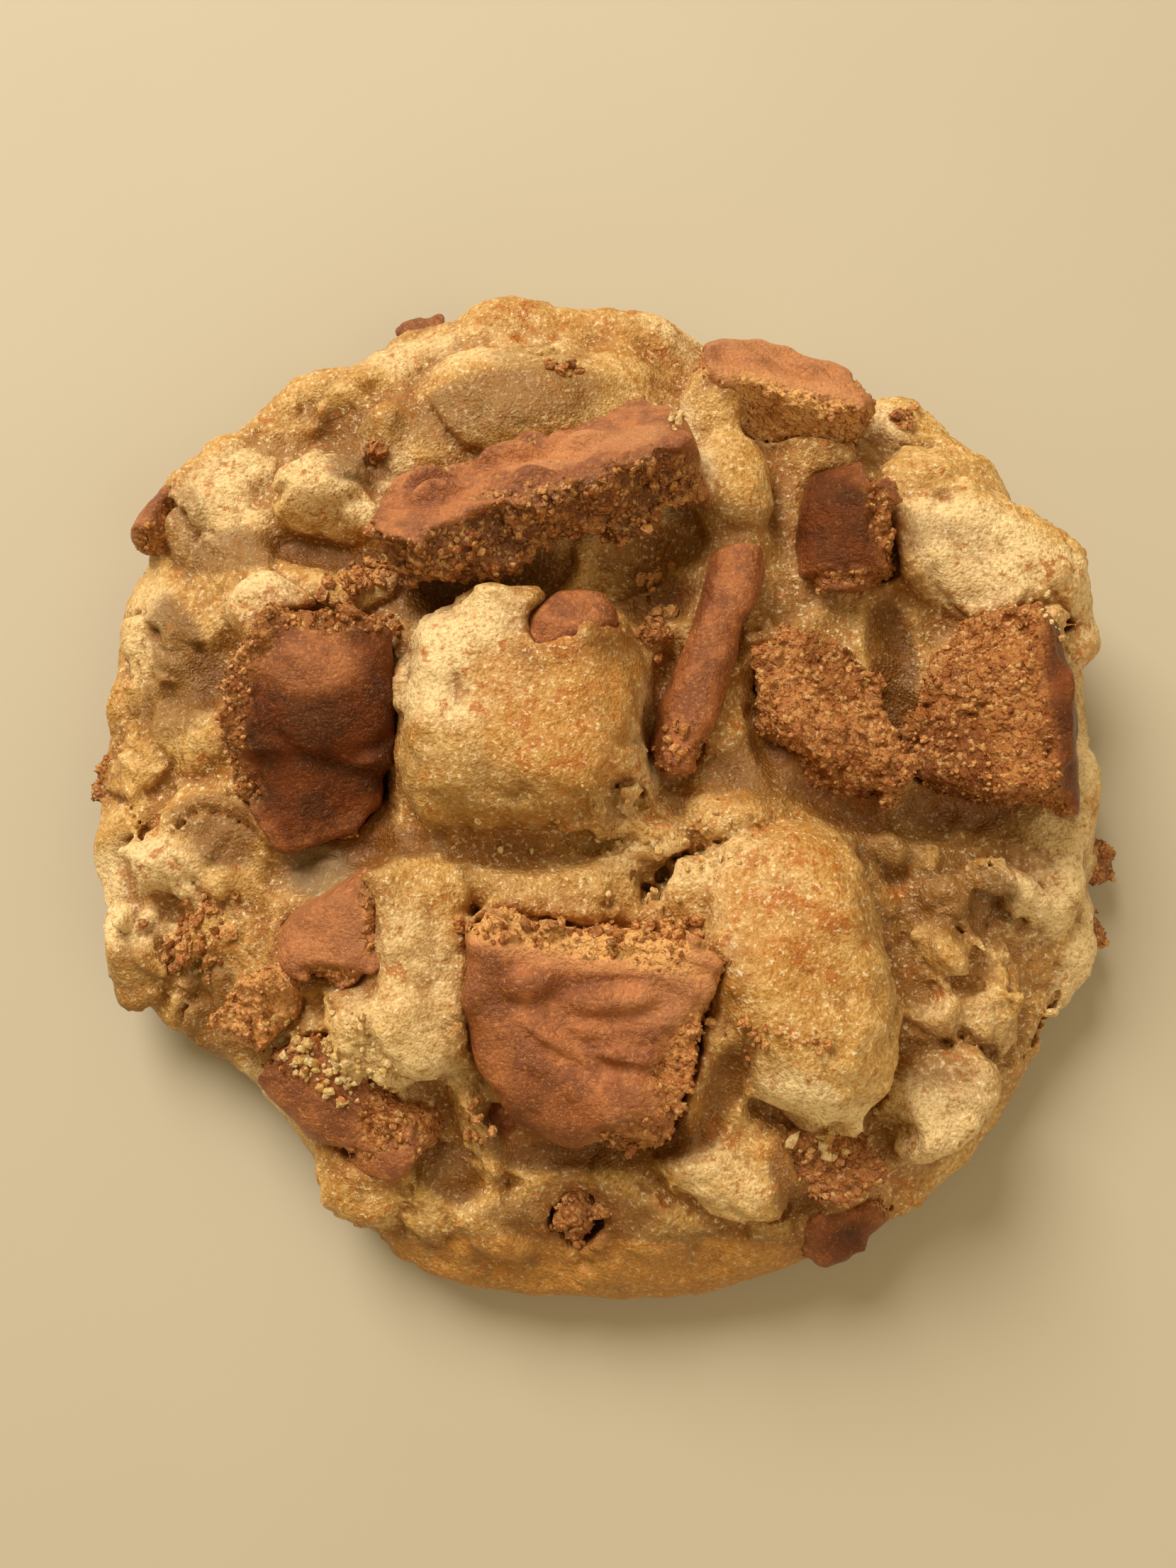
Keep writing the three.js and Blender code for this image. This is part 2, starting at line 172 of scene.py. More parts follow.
# Knobs of dough: depth, further depth where it is knobbly, size, level that stays in place, seed
KNOBS = ((0.3, 1.0, 4.4, 0.6, 20), (0.15, 0.5, 2.1, 0.55, 23))
FOLD_DEPTH = 0.75

# A crest is where the dough stands out from what is this many steps round it
CREST_REACH = 5

# Distance from the middle to the dough's widest line, every 15 degrees from east
OUTLINE = (
    50, 52, 51.1, 48.1, 48.8, 48.5, 51.2, 50.8, 51.9, 52.7, 53.1, 52.6,
    50.9, 51.9, 49.7, 46.7, 49.5, 51.4, 51.3, 51.4, 51.7, 51.6, 50.4, 50.5,
)

# Lumps of dough: ovals, each with the height of its top and its squareness (2 is an ellipse)
LUMPS = (
    # the two large mounds, and the torn shelf that runs between them
    (-7.9, 3.6, 11.6, 10.8, 0, 26, 3.6), (-10.6, 14, 1.7, 1.6, 0, 25.6, 2),
    (-9.4, 12.4, 4, 2.6, 10, 25, 2.2), (17.7, -20, 13.8, 8.6, 102, 24.5, 2.6),
    (10.8, -27, 8.4, 5.2, 65, 20.6, 2.4), (8.5, -11.9, 5.8, 4.2, 10, 20.5, 2),
    (2.8, -8.1, 6.2, 3, -25, 20.5, 2.4), (11.7, -5.6, 5.2, 2.8, 8, 19.5, 2),
    # north edge
    (-6.1, 36.8, 14.5, 8.5, 0, 17.5, 2.2), (-5.1, 44.6, 16, 5.4, 0, 13, 2.3),
    (-27.1, 38.3, 6.5, 5, 35, 13, 2), (-20.5, 42.6, 7, 5, 22, 12, 2.2),
    (-31.6, 36.6, 7.5, 5.4, 46, 12, 2.2), (-40.4, 22, 7, 6, 66, 12, 2.2),
    (-22.6, 33.6, 3.2, 3.2, 0, 15, 2), (-27.3, 26.2, 6.6, 4.2, -28, 17.5, 2.2),
    # west edge
    (-38.8, 28.7, 8.5, 6.5, 53, 13, 2.2), (-43.6, 15.8, 7.5, 5.5, 75, 12.5, 2.2),
    (-32.6, 14.3, 4.6, 4.4, 60, 19, 2), (-27.6, 16.3, 3.4, 2.2, -10, 17.5, 2),
    (-47.4, 7.5, 3.8, 3.2, 20, 9.5, 2), (-45.3, 1.2, 5.2, 3.8, 95, 12, 2.4),
    (-38, 2.9, 4.4, 3.4, 80, 14.5, 2), (-40, -4.4, 3.8, 3.3, 40, 14.5, 2),
    (-47.5, -7, 4.4, 3.6, 60, 10, 2),
    # south-west lobe, a ring round a small hollow
    (-40.3, -9.5, 6.4, 3.2, -20, 15, 2), (-45.5, -16.7, 7, 3.8, 105, 11, 2.2),
    (-39.4, -23.5, 5.4, 3.4, -35, 8.5, 2), (-39.7, -17.1, 3.2, 2.6, 0, 12.5, 2),
    (-35.1, -11.1, 3.4, 2.4, -10, 15, 2), (-37.3, -21.9, 2.4, 1.9, 20, 9.5, 2),
    # plateau west of the large piece of biscuit, with a finger running south from it
    (-17.4, -19.2, 10.6, 5.4, 92, 21, 3.4), (-20.6, -25.7, 5.6, 4.4, -25, 19.8, 2.5),
    (-11.3, -34.5, 4.8, 2.7, -65, 16.5, 2), (-4.6, -11.3, 9.4, 4.8, 0, 20.4, 2.2),
    (-7, -8, 9.5, 4, 0, 19.5, 2.2),
    # south edge
    (-22.2, -39.7, 6.6, 4.4, -25, 12, 2), (-10.5, -42.4, 6.6, 4.6, -10, 12.5, 2),
    (-1.6, -46.1, 5.6, 3.6, 0, 10.5, 2), (5.2, -43.3, 5, 4.2, 0, 12.8, 2),
    (13.7, -43.7, 5.6, 4.4, 15, 11.8, 2), (10.4, -36.8, 7.8, 5.2, -35, 17.2, 3),
    (9.6, -31, 6, 3.4, 60, 18.6, 2),
    # the knobbly east side
    (26.3, -10.5, 3.8, 2.6, 80, 17, 2), (32.7, -13.4, 3.8, 3.2, 20, 16, 2),
    (30.4, -18.1, 3.8, 3, 10, 16.8, 2), (36.8, -11.9, 4.4, 3.2, 15, 16, 2),
    (42.5, -9.1, 6.4, 4.2, 85, 13.5, 2.4), (35.3, -23.6, 5.6, 4.2, -40, 14.2, 2.2),
    (45.4, -0.2, 8.2, 4, 90, 11, 2.4), (44.3, -16.9, 7.4, 4, 72, 10, 2.2),
    (29.6, -24.7, 4.4, 4, 0, 15.4, 2), (31.4, -32.1, 6.4, 4.4, 42, 16.4, 2.8),
    (30.4, -38.7, 7, 3.4, 40, 8.5, 2),
    # north-east
    (12.3, 26.9, 4.9, 4.7, 0, 19.8, 2.4), (10.5, 34.6, 5.2, 2.7, 100, 17.6, 2),
    (12.9, 21.9, 4, 3, 20, 17.4, 2), (21.7, 31.3, 4, 2.4, -10, 15.4, 2),
    (31.9, 34.9, 6.6, 4, -42, 12, 2), (37, 29.6, 6.4, 4.6, -48, 12.5, 2.2),
    (36.8, 21, 11.4, 7, -35, 18.4, 3.6), (46.9, 12.9, 4.6, 4, 70, 13.5, 2),
    (43.6, 17, 6.4, 5, -48, 15.4, 2.4),
    # low ground between the pieces
    (21.2, 14.9, 6.4, 3.6, 0, 16.2, 2), (27.2, 10.7, 5.2, 3.6, 100, 15.8, 2),
    (3.5, 12.2, 3.8, 3.4, 0, 16, 2), (13.9, 4.3, 6, 4, 80, 15, 2),
    (15.8, -2, 4.2, 2.7, 10, 17, 2), (3.6, -3.4, 5, 3, 40, 17, 2.2),
)

# Hollows between the lumps: ovals, each with a depth
HOLLOWS = (
    (-11.6, 17.8, 7, 1.8, 10, 5), (2.9, 19.3, 4.5, 2.4, 20, 3.5), (-41.7, -15.7, 3.6, 1, 100, 4),
    (-33.1, -27.2, 3, 1.2, -40, 4), (-14.6, -34.2, 4, 0.8, -40, 4), (-9.3, -31.7, 2.4, 1, -55, 3.5),
    (26.1, -34.7, 1.4, 1.2, 60, 5), (-2.7, -41.7, 1.6, 1.2, 0, 2.5), (35.4, -4.3, 5, 1.4, 0, 3),
    (27.4, -16, 9, 0.8, 104, 3.5), (6.2, 3, 8, 0.6, 92, 4), (-5, -8.6, 8, 0.5, 2, 3),
    (30, -27.6, 4, 0.8, -30, 3), (-27, 21.4, 6, 0.8, -14, 3.5), (5, 16, 2.6, 1.6, 20, 3),
    (-25.4, -8, 4.6, 1.4, -16, 3.5), (-41.4, 8, 3.4, 0.8, 60, 2), (28.2, 10, 5, 1, 95, 2.5),
    (16.4, 3, 5, 0.6, 96, 3), (22, -4.4, 5, 0.8, -30, 3), (33, -5.4, 5, 1, 0, 2.5),
    (-15, -37.6, 3.6, 0.8, -40, 3), (-4, -36.6, 6, 0.6, -4, 2.5), (10.4, -31.5, 3.4, 0.5, 66, 2.5),
    (-22, -17.5, 4, 0.5, 84, 2.5), (-27, 33, 3.4, 0.6, 100, 2), (-37.6, 9.5, 2.8, 1.2, 60, 2.6),
    (-22.4, -5.4, 3.4, 1, 70, 3), (-28, -9.8, 3, 1.4, 20, 2.4), (33, -1, 4, 1.2, -40, 3),
    (30, 3, 6, 1, -60, 4), (0, -35.4, 8, 0.8, 4, 3), (42, -19.6, 3, 1, -30, 2.4),
)

# Grains that stick out of crumbly faces: their share of a biscuit's points, their number on the dough, the
# smallest radius, and what the largest has on top of it
GRAIN_SHARE = 0.06
DOUGH_GRAINS = 500
GRAIN_RADIUS = 0.1
GRAIN_SPREAD = 0.28

# Every crumb, in shares of its radius: how far its middle is above the surface, how much it is squashed or
# stretched each way, and how rough it is. The surface is looked up in squares of the plan.
CRUMB_RISE = 0.25
CRUMB_SQUASH = (0.65, 1.3)
CRUMB_BUMPS = 0.18
PLAN_SQUARE = 0.5

# Loose crumbs: ovals that they are spread over, each with their number and a radius
BISCUIT_CRUMBS = (
    (-23, 31.6, 1.2, 1, 0, 14, 0.9), (-40, -17.5, 3.6, 2.4, 0, 60, 0.7),
    (-38.6, -14.4, 3, 1.6, 20, 30, 0.6), (5, 12.6, 1.6, 2.4, 0, 40, 0.8),
    (4.6, 19.4, 1.8, 2.4, 10, 40, 0.7), (-24, 18.4, 3.4, 1.8, 30, 60, 0.8),
    (-20.4, 12, 2, 1.2, 60, 16, 0.6), (-4, 20, 16, 3, 15, 60, 0.4),
    (6.4, 0.8, 1.8, 2.4, 70, 26, 0.6), (0, -16.6, 13, 1.4, 0, 60, 0.6),
    (14, -26, 2, 6, 80, 30, 0.5), (-12, -33, 3, 2, -40, 24, 0.6),
    (-31.6, -27, 3, 1.4, -40, 26, 0.6), (20, -37, 3, 2, 0, 12, 0.5),
    (-4.6, 39.6, 2.4, 1, 0, 14, 0.7), (31, 36.6, 1.4, 1, 0, 16, 0.7),
)
DOUGH_CRUMBS = (
    (6.6, 30.4, 2.4, 0.5, 60, 16, 0.45), (-21.4, -29.6, 3.6, 0.7, -40, 20, 0.4),
    (-27.6, -28, 4.4, 1.6, -45, 110, 0.5), (-24, -29.6, 1, 3, 20, 40, 0.5),
    (19.6, -35.6, 2.6, 1.4, 0, 20, 0.6), (4, -8, 12, 4, 0, 50, 0.35),
    (-20.6, -27, 6, 1.4, -50, 24, 0.4), (42.4, 12.6, 4, 1.6, -25, 16, 0.35),
)


class Look(NamedTuple):
    """What a piece of biscuit shows. The last five hold ovals on its upper face, each with a strength."""

    skin: bool = True  # its upper face is baked skin
    baked: tuple = ()  # bearings of its moulded sides
    rounding: float = 3.0  # of the edges between its baked faces
    tone: float = 0.0  # from 0, golden, to 1, dark, and paler below 0, partly as painted light
    crumb_gap_shade: float = 0.0  # how much more painted shade lies in the crumb between its grains
    coarse: float = 0.45  # depth of the crumb's larger grains
    opening: float = 3.2  # how far above its upper face the dough is cut away, with OVERLAP off
    ledge: tuple = (0, 0)  # where on its upper face a lower step begins, and how far down that is
    relief: tuple = ()  # moulded ridges, whose strength is their height
    bare: tuple = ()  # patches where the skin has come off
    smooth: tuple = ()  # patches of skin on a broken face
    dark: tuple = ()  # darker patches: painted shade, with darker baked skin in places
    light: tuple = ()  # paler patches: painted highlight, painted sheen and painted light


# Dark ovals below are mostly painted shade, and light ovals painted light and painted sheen
BISCUITS = {
    "long": Look(
        baked=(17,), rounding=3.6, coarse=0.8, crumb_gap_shade=0.15,
        bare=(
            (-15, 0, 1.6, 4, 0, 1), (2, -4.4, 6, 1.2, 4, 0.8), (9, -3.6, 3, 1.6, 20, 0.7),
            (0, 4.6, 9, 0.8, 22, 0.6),
        ),
        light=((3, 1, 6, 2.4, 20, 0.4), (10, 2, 3, 2, 20, 0.35), (-12, 0, 3, 2, 0, 0.2)),
        relief=(
            (-8.6, -4, 2.8, 1.1, 12, 1.5), (-10, -0.8, 2.6, 0.9, 16, 1.3), (-2.6, 1.2, 3.6, 1.1, 14, 1.4),
            (4.4, 2.4, 3, 1.1, 16, 0.9), (7.4, -1.4, 2.6, 1.3, 10, 0.8), (0.6, -2.4, 2.4, 0.9, 8, 0.8),
        ),
    ),
    "dark": Look(
        baked=(0,), tone=1.0, rounding=1.6, ledge=(-3.2, 1.4),
        light=((0, 6, 5, 3, 0, 0.8),),
        relief=((2.4, 3.4, 6, 6, 0, 0.9),),
        bare=(
            (-7, 1, 1.7, 7, -4, 1), (-5.6, -6, 2, 2.4, 0, 1), (0, 10, 6, 1.4, -4, 1), (-5, 7.6, 2, 2, 0, 1),
        ),
    ),
    "large": Look(
        baked=(180, 222, 265), crumb_gap_shade=-0.5, rounding=3.8,
        dark=((-4, -7, 7, 3.4, -34, 0.45), (2, -10, 7, 2.6, 10, 0.4), (-9, 0, 2, 8, 0, 0.3)),
        light=((-1, 8.8, 12, 2.8, -7, 0.6), (6, 4, 5, 3, 0, 0.25)),
        bare=(
            (-1, 9, 12, 1.6, -7, 1), (9.6, -4, 4.4, 8, -14, 1), (4, -11, 6.4, 3.8, 16, 1),
            (6, 6.6, 4, 1, -12, 0.7),
        ),
        relief=(
            (1.4, 3.4, 4.4, 1.4, 4, 0.9), (-3.4, -0.2, 4.4, 0.9, -32, 0.6), (2.4, -1.6, 3.4, 0.8, -10, 0.6),
            (-5.6, 5, 3, 1.6, 16, 0.6), (3, -6, 3, 3.4, 40, 0.5), (-5, -7, 5, 2.4, -44, 0.5),
        ),
    ),
    "east": Look(
        skin=False, baked=(-1,), tone=0.75, crumb_gap_shade=-0.35, coarse=0.3,
        smooth=((7.8, 0, 2.4, 12, 0, 1),), dark=((7.8, 0, 2.4, 12, 0, 0.5), (-4, -6, 5, 5, 0, 0.7)),
    ),
    "inner_east": Look(
        skin=False, tone=0.4, crumb_gap_shade=-0.3, coarse=0.5, dark=((0, 4, 3, 4, 0, 0.6), (1, -7, 4, 3, 0, 0.5)),
    ),
    "stick": Look(baked=(-17, 163), tone=0.15, bare=((-0.4, -9.4, 2.4, 1.6, 0, 0.9),)),
    "north_east": Look(
        baked=(180, 100), tone=0.95, crumb_gap_shade=-0.1, rounding=4.0,
        bare=((3.4, 0, 1.6, 5, 14, 1), (0, -4.4, 4, 0.8, 0, 0.8)),
    ),
    "north_rim": Look(
        baked=(72, 115), tone=-0.3, crumb_gap_shade=-0.6, rounding=4.2, light=((0, -4, 9, 2, -18, 0.3),),
        bare=((1, -4.4, 8, 1, -18, 1), (7.4, 0, 1.4, 3, 0, 0.8)),
        relief=((-4, 0.6, 2.2, 0.9, -16, 0.6), (1.4, 0.2, 2.4, 0.9, -30, 0.6)),
    ),
    "south_west": Look(
        baked=(180, 225, 120), tone=-0.22, rounding=4.0,
        bare=((5.6, 2, 1.2, 5, 0, 1), (3, -4.2, 4, 0.8, -10, 0.8)),
    ),
    "west_crumb": Look(skin=False, tone=-0.5, crumb_gap_shade=-0.9, coarse=0.3, opening=1),
    "south_west_rim": Look(
        baked=(232,), tone=0.3, crumb_gap_shade=-0.3, rounding=4.0,
        bare=((5, -1, 2.6, 3, 0, 1), (-1, -4.4, 6, 1, 0, 0.8)),
    ),
    "south_east_rim": Look(baked=(290, 335), tone=1.0),
    "south_east": Look(skin=False, tone=0.3),
    "south_rim": Look(skin=False, tone=0.6),
    "north_west_rim": Look(baked=(150,), tone=0.5, opening=0.6),
    "mound": Look(baked=(20, 65, 115, 160, 200, 290, 335), tone=0.1, rounding=2.6, opening=1),
    "crevice": Look(tone=0.9),
    "east_rim": Look(skin=False, tone=0.6, opening=-2),
    "east_rim_small": Look(skin=False, tone=0.2, opening=-2),
    "west_rim": Look(skin=False, tone=0.2, opening=-2),
    "north_rim_small": Look(tone=0.5, opening=-2),
}

# Ovals in plan, each with a strength, where the dough is as each comment says
# Torn and crumbly
TORN = (
    (5, -7.5, 11, 4.5, -5, 0.9), (3, -12, 4, 2.4, 40, 1), (-21, -28.5, 6, 2, -50, 1),
    (-44.5, 8, 7, 4, 85, 0.5), (-37, 24, 8, 4, 60, 0.3), (-39, -18, 5, 3.5, 0, 0.6),
    (42.5, 13.5, 4.5, 2.4, -25, 0.9), (31, 35, 5, 3, -40, 0.5), (26.5, -34, 3, 2, 60, 0.8),
    (20, -36, 4, 3, 0, 0.7), (-6.6, 41.8, 2.6, 1.4, 0, 0.9), (-12, 12.5, 3, 2, 0, 0.5),
)
# Knobbly
LUMPY = (
    (33, -13.5, 9.6, 9, 0, 1), (-40, -17, 8, 8, 0, 0.8), (-44, 4, 12, 6, 90, 0.7),
    (-5, -43, 20, 5, 0, 0.5), (20, 10, 12, 9, 0, 0.35), (-30, 30, 12, 8, 40, 0.35),
    (38, -20, 10, 8, 60, 0.5),
)
# Toasted in freckles
TOASTED = (
    (-4.5, 2.5, 9, 7, -40, 1), (17, -15, 9, 7, 100, 0.9), (-3, 46, 15, 4.5, 0, 0.7),
    (45, 15, 7, 3, -50, 0.8), (-19, -21, 2.6, 2, 0, 0.7), (0, -48, 34, 4, 0, 1),
    (10, -37, 5, 4, -35, 0.6), (-27, 26, 6, 3.4, -28, 0.4), (-33, 14, 4, 3.4, 0, 0.7),
    (8, -6, 8, 3, 8, 0.8), (-40, 27, 6, 5, 50, 0.3), (-40, -13, 5, 4, 0, 0.6),
    (31, -27, 4, 3, 0, 0.4),
)
# Undercooked and moist
RAW = (
    (-26, -9, 7, 5, 0, 1), (20, 9, 14, 11, 0, 0.8), (32, -10, 11, 8, 0, 0.9),
    (-12, 18, 10, 4, 10, 0.8), (-3, -12, 7, 4, 0, 0.5), (36, -26, 8, 10, 50, 0.6),
    (24, 36, 10, 5, -40, 0.5), (-38, 9, 5, 6, 60, 0.5), (-34, -26, 7, 4, -40, 0.5),
)
# Pale, where it rose, and painted light where slopes face the lamp: partly pale crust, partly painted light
PALE_AND_LIT = (
    (-13, 8, 7, 6, 40, 1), (37, 19, 10, 5, -33, 1), (-46, -12, 5, 8, 100, 1),
    (-26, 29, 8, 5, -20, 0.7), (-33, 15.5, 4, 3, 0, 1), (-14, 43, 12, 3, 0, 0.5),
    (12, 45, 8, 3, -20, 0.8), (39, -14, 4, 5, 0, 0.5), (34, -25, 6, 4, -50, 0.4),
    (31, -33, 6, 4, 48, 0.8), (-19, -22, 6, 8, 0, 0.5), (8, -9, 9, 4, 0, 0.6),
    (-46, 14, 3, 6, 0, 0.6), (44, -7, 4, 7, 0, 0.9), (47, -20, 3, 8, -20, 0.9),
    (47, 13, 3, 6, 20, 0.8), (-20, -30, 6, 4, -30, 0.8), (38, -41, 8, 2, 45, 0.6),
    (3, -3, 4, 6, 0, 0.7), (-38, 28, 7, 5, 50, 0.7), (14, -14, 5, 4, 0, 0.4),
    (10, -38, 5, 3, -35, 0.5), (48.4, -13, 2.6, 8, -8, 1), (45, 17, 4, 3, -50, 0.9),
    (29, -33, 3, 4.4, 45, 1), (-44, -12, 5, 3, -20, 1), (-27, -30, 6, 2, -20, 0.9),
    (42, -5, 5, 4, 0, 0.9), (6, -2, 2, 4, 0, 0.9), (16, 45, 10, 3, -20, 0.9),
    (41, -14, 4, 3, -20, 1), (17, -31.6, 4, 2.4, -30, 1), (23, -34, 3, 2.4, -30, 0.9),
    (-17, -30, 4, 2.4, 10, 1), (6, 31, 3, 6, -10, 0.9), (27, 36, 5, 3, -40, 1),
    (8, 28, 2.6, 4, 0, 0.9), (-33, -31, 3, 3, -40, 0.9), (47, 3, 3, 6, 0, 0.9),
    (5.4, 2, 2.4, 6, 0, 1),
)
# Brown in the folds and under the edges of the pieces: partly moist brown dough, partly painted shade
BROWN_AND_SHADE = (
    (-10, 36, 12, 3.6, 8, 0.7), (-26, 34.5, 4, 3, -30, 0.6), (-42, 24, 2.4, 5, 0, 0.6),
    (-42, 11, 3, 7, 20, 0.9), (-28, 21, 11, 1.8, -14, 0.9), (-15, 17.6, 6, 2.2, 8, 1),
    (5, 16, 4, 2.6, 10, 1), (28, 10, 2.6, 6, 6, 0.9), (17, 2.6, 2.4, 7, 4, 1),
    (23, -4, 6, 2.4, -30, 1), (34, -4, 6, 2.6, 0, 1), (-25, -7.6, 7, 3.4, -10, 1),
    (-38, -5, 4, 2.4, 0, 0.7), (-22.6, -17, 1.8, 5, 0, 0.8), (-12, -10, 5, 2, -40, 0.4),
    (11, -29.6, 1.8, 4.4, -20, 0.8), (-15, -38, 4, 2.6, -40, 0.9), (-22.4, -5, 2.4, 4.4, -20, 1),
    (-16, 16.4, 5, 2.6, 20, 1), (-39.4, 8, 3.4, 3, 0, 1), (33.6, -1, 3.4, 4, -30, 1),
    (42, -19.4, 3.4, 3, 0, 0.4), (17, -37.6, 2.4, 2.4, 0, 1), (-13, -3.4, 7, 2.6, -8, 0.5),
    (0.6, 6, 2.6, 7, 6, 0.6), (-4, -5, 8, 2.4, 0, 0.5), (-3, -35.4, 9, 3, 0, 1),
    (-3, -42.6, 9, 2.6, 0, 0.8), (-37, 21.4, 6, 2.2, 0, 0.8), (-43, 6.4, 4, 4, 20, 0.8),
    (-36, -7, 3.4, 3.4, 0, 0.9), (-19, -8.4, 5, 1.8, 0, 0.8), (-38, -20.4, 3, 2.2, 0, 0.9),
    (14.4, -1, 3, 4, 0, 0.9), (33.6, -2.4, 4, 4, 0, 0.9), (24, 22.6, 5, 3.4, 0, 0.8),
    (26, -8.6, 3, 3, 0, 0.6), (18, -40, 3, 2.4, 0, 0.9), (-7, 41, 4.4, 2, 0, 0.5),
    (-24.6, 30, 3, 3, 0, 0.8), (10, 22, 6, 3, 0, 0.6), (-38, -24.4, 4, 4, -40, 0.7),
    (20, 22, 16, 2.4, 0, 0.5), (-46, -21, 3, 4, 0, 0.6), (0, -49, 30, 2.6, 0, 0.7),
    (30.6, 2, 6, 3, -60, 1), (-15.6, 18, 4.6, 2.4, 10, 1), (1, -35.4, 9, 2.6, 4, 1),
    (34, -13.4, 5, 4, 0, 0.75), (32, -29, 5, 3.4, 0, 0.4), (-11, -8, 6, 3, 0, 0.5),
    (-20, -36, 4, 3, 0, 0.9), (12, -2, 3, 3, 0, 0.8), (22, -44, 6, 3, 10, 0.6),
    (2, 5, 2.4, 8, 0, 0.45), (-8, -5, 8, 2.4, 0, 0.35), (24.6, -17, 2.8, 8, 6, 0.4),
    (0, -47, 30, 4, 0, 0.8),
)
# Wet
WET = ((-27, -10.6, 3.6, 2.6, -20, 1),)
# Free of folds
CALM = (
    (-17, -21, 6, 9, 0, 0.9), (-7.9, 3.6, 9, 8, 0, 0.9), (17.7, -19, 7, 12, 12, 0.9),
    (37, 21, 8, 4, -35, 0.6), (-5, 37, 10, 4, 0, 0.6),
)

# Cracks: width at the surface, depth, and the points in plan that each runs through
CRACKS = (
    (0.4, 1.6, ((3.4, -11.8), (5.6, -11), (7.4, -10), (9.5, -8.8))),
    (0.4, 1.4, ((-0.8, -3.9), (1.2, -3.1), (3.4, -3.5))),
    (0.4, 1.2, ((38.6, 13.6), (41, 14.6), (42.6, 15.6), (45, 14.4))),
)


# ---- Fields ----


class Grid:
    """Sample points in a box, a step apart. place holds their x, y and z, shaped to broadcast."""

    def __init__(self, low, high, step):
        self.low = np.asarray(low, float)
        self.step = step
        self.shape = tuple(int(n) for n in np.ceil((np.asarray(high, float) - self.low) / step) + 1)
        lines = [(self.low[i] + step * np.arange(self.shape[i])).astype(np.float32) for i in range(3)]
        self.place = (lines[0][:, None, None], lines[1][None, :, None], lines[2][None, None, :])

    def window(self, low, high):
        """The slices of the samples that lie between two corners."""
        first = np.floor((np.asarray(low) - self.low) / self.step).astype(int)
        last = np.ceil((np.asarray(high) - self.low) / self.step).astype(int) + 1
        return tuple(slice(max(a, 0), max(min(b, n), 0)) for a, b, n in zip(first, last, self.shape))

    def place_in(self, window):
        """The x, y and z of a window's samples, shaped to broadcast."""
        x, y, z = self.place
        return x[window[0]], y[:, window[1]], z[:, :, window[2]]

    def sample(self, values, points):
        """Values at the sample nearest to each point."""
        index = np.rint((points - self.low) / self.step).astype(int)
        index = np.clip(index, 0, np.array(self.shape) - 1)
        return values[index[:, 0], index[:, 1], index[:, 2]]


def spline_weights(count, step, cell):
    """Weights of a cubic B-spline that carries values one cell apart onto count samples one step apart."""
    place = np.arange(count) * step / cell
    first = np.floor(place).astype(int)
    t = place - first
    weights = np.zeros((count, first[-1] + 4), np.float32)
    blends = ((1 - t) ** 3, 3 * t**3 - 6 * t**2 + 4, 3 * (t + t**2 - t**3) + 1, t**3)
    for shift, blend in enumerate(blends):
        weights[np.arange(count), first + shift] = blend / 6
    return weights


def noise(grid, cell, seed):
    """Smooth random values about 0, with a spread of 1 and features about one cell across."""
    rng = np.random.default_rng(SEED + seed)
    weights = [spline_weights(count, grid.step, cell) for count in grid.shape]
    values = rng.standard_normal([w.shape[1] for w in weights]).astype(np.float32)
    for axis, w in enumerate(weights):
        values = np.moveaxis(np.tensordot(w, values, axes=(1, axis)), 0, axis)
    return values / values.std()


def layered(grid, layers, seed):
    """The sum of several layers of noise: (depth, cell, seed on top of the one given)."""
    return sum(depth * noise(grid, cell, seed + further) for depth, cell, further in layers)


def creases(grid, cell, width, seed):
    """Winding lines where noise passes through 0: 1 along the middle of each, and 0 between them."""
    return ease(width, 0, np.abs(noise(grid, cell, seed)))


def grains(points, size, seed, round_tops):
    """Packed grains of about one size: near 1 at the middle of each, and 0 in the crevices between."""
    rng = np.random.default_rng(SEED + seed)
    place = (points - points.min(axis=0)) / size + 1
    cell = place.astype(int)
    counts = cell.max(axis=0) + 3
    scattered = rng.random((*counts, 3)).astype(np.float32)
    nearest = np.full(len(points), 9.0, np.float32)
    second = nearest.copy()
    for shift in np.ndindex(3, 3, 3):
        other = cell + np.array(shift) - 1
        centre = other + scattered[other[:, 0], other[:, 1], other[:, 2]]
        distance = np.sqrt(((place - centre) ** 2).sum(axis=1)).astype(np.float32)
        second = np.minimum(second, np.maximum(distance, nearest))
        nearest = np.minimum(nearest, distance)
    if round_tops:
        return ease(0.9, 0.1, nearest)
    return ease(0, 0.7, second - nearest)


def grain_field(grid, field, size, seed, round_tops=False):
    """Grains at the samples near a field's surface, and 0.5 elsewhere."""
    values = np.full(grid.shape, 0.5, np.float32)
    mask = np.abs(field) < GRAIN_REACH
    bend = 0.3 * size * noise(grid, size, seed + BEND_SEED)[mask]
    points = grid.low + grid.step * np.argwhere(mask) + bend[:, None] * (1, -0.7, 0.5)
    values[mask] = grains(points, size, seed, round_tops)
    return values


def blur(values, steps):
    """Values averaged over a box that reaches a number of steps each way."""
    width = 2 * steps + 1
    for axis in range(3):
        padding = [(0, 0)] * 3
        padding[axis] = (steps + 1, steps)
        total = np.cumsum(np.pad(values, padding, mode="edge"), axis=axis, dtype=np.float64)
        count = values.shape[axis]
        upper = np.take(total, np.arange(width, width + count), axis=axis)
        lower = np.take(total, np.arange(count), axis=axis)
        values = ((upper - lower) / width).astype(np.float32)
    return values


def smooth_min(a, b, width):
    """The union of two fields, with the crease between them filled over a width."""
    overlap = np.maximum(width - np.abs(a - b), 0) / width
    return np.minimum(a, b) - overlap * overlap * width / 4


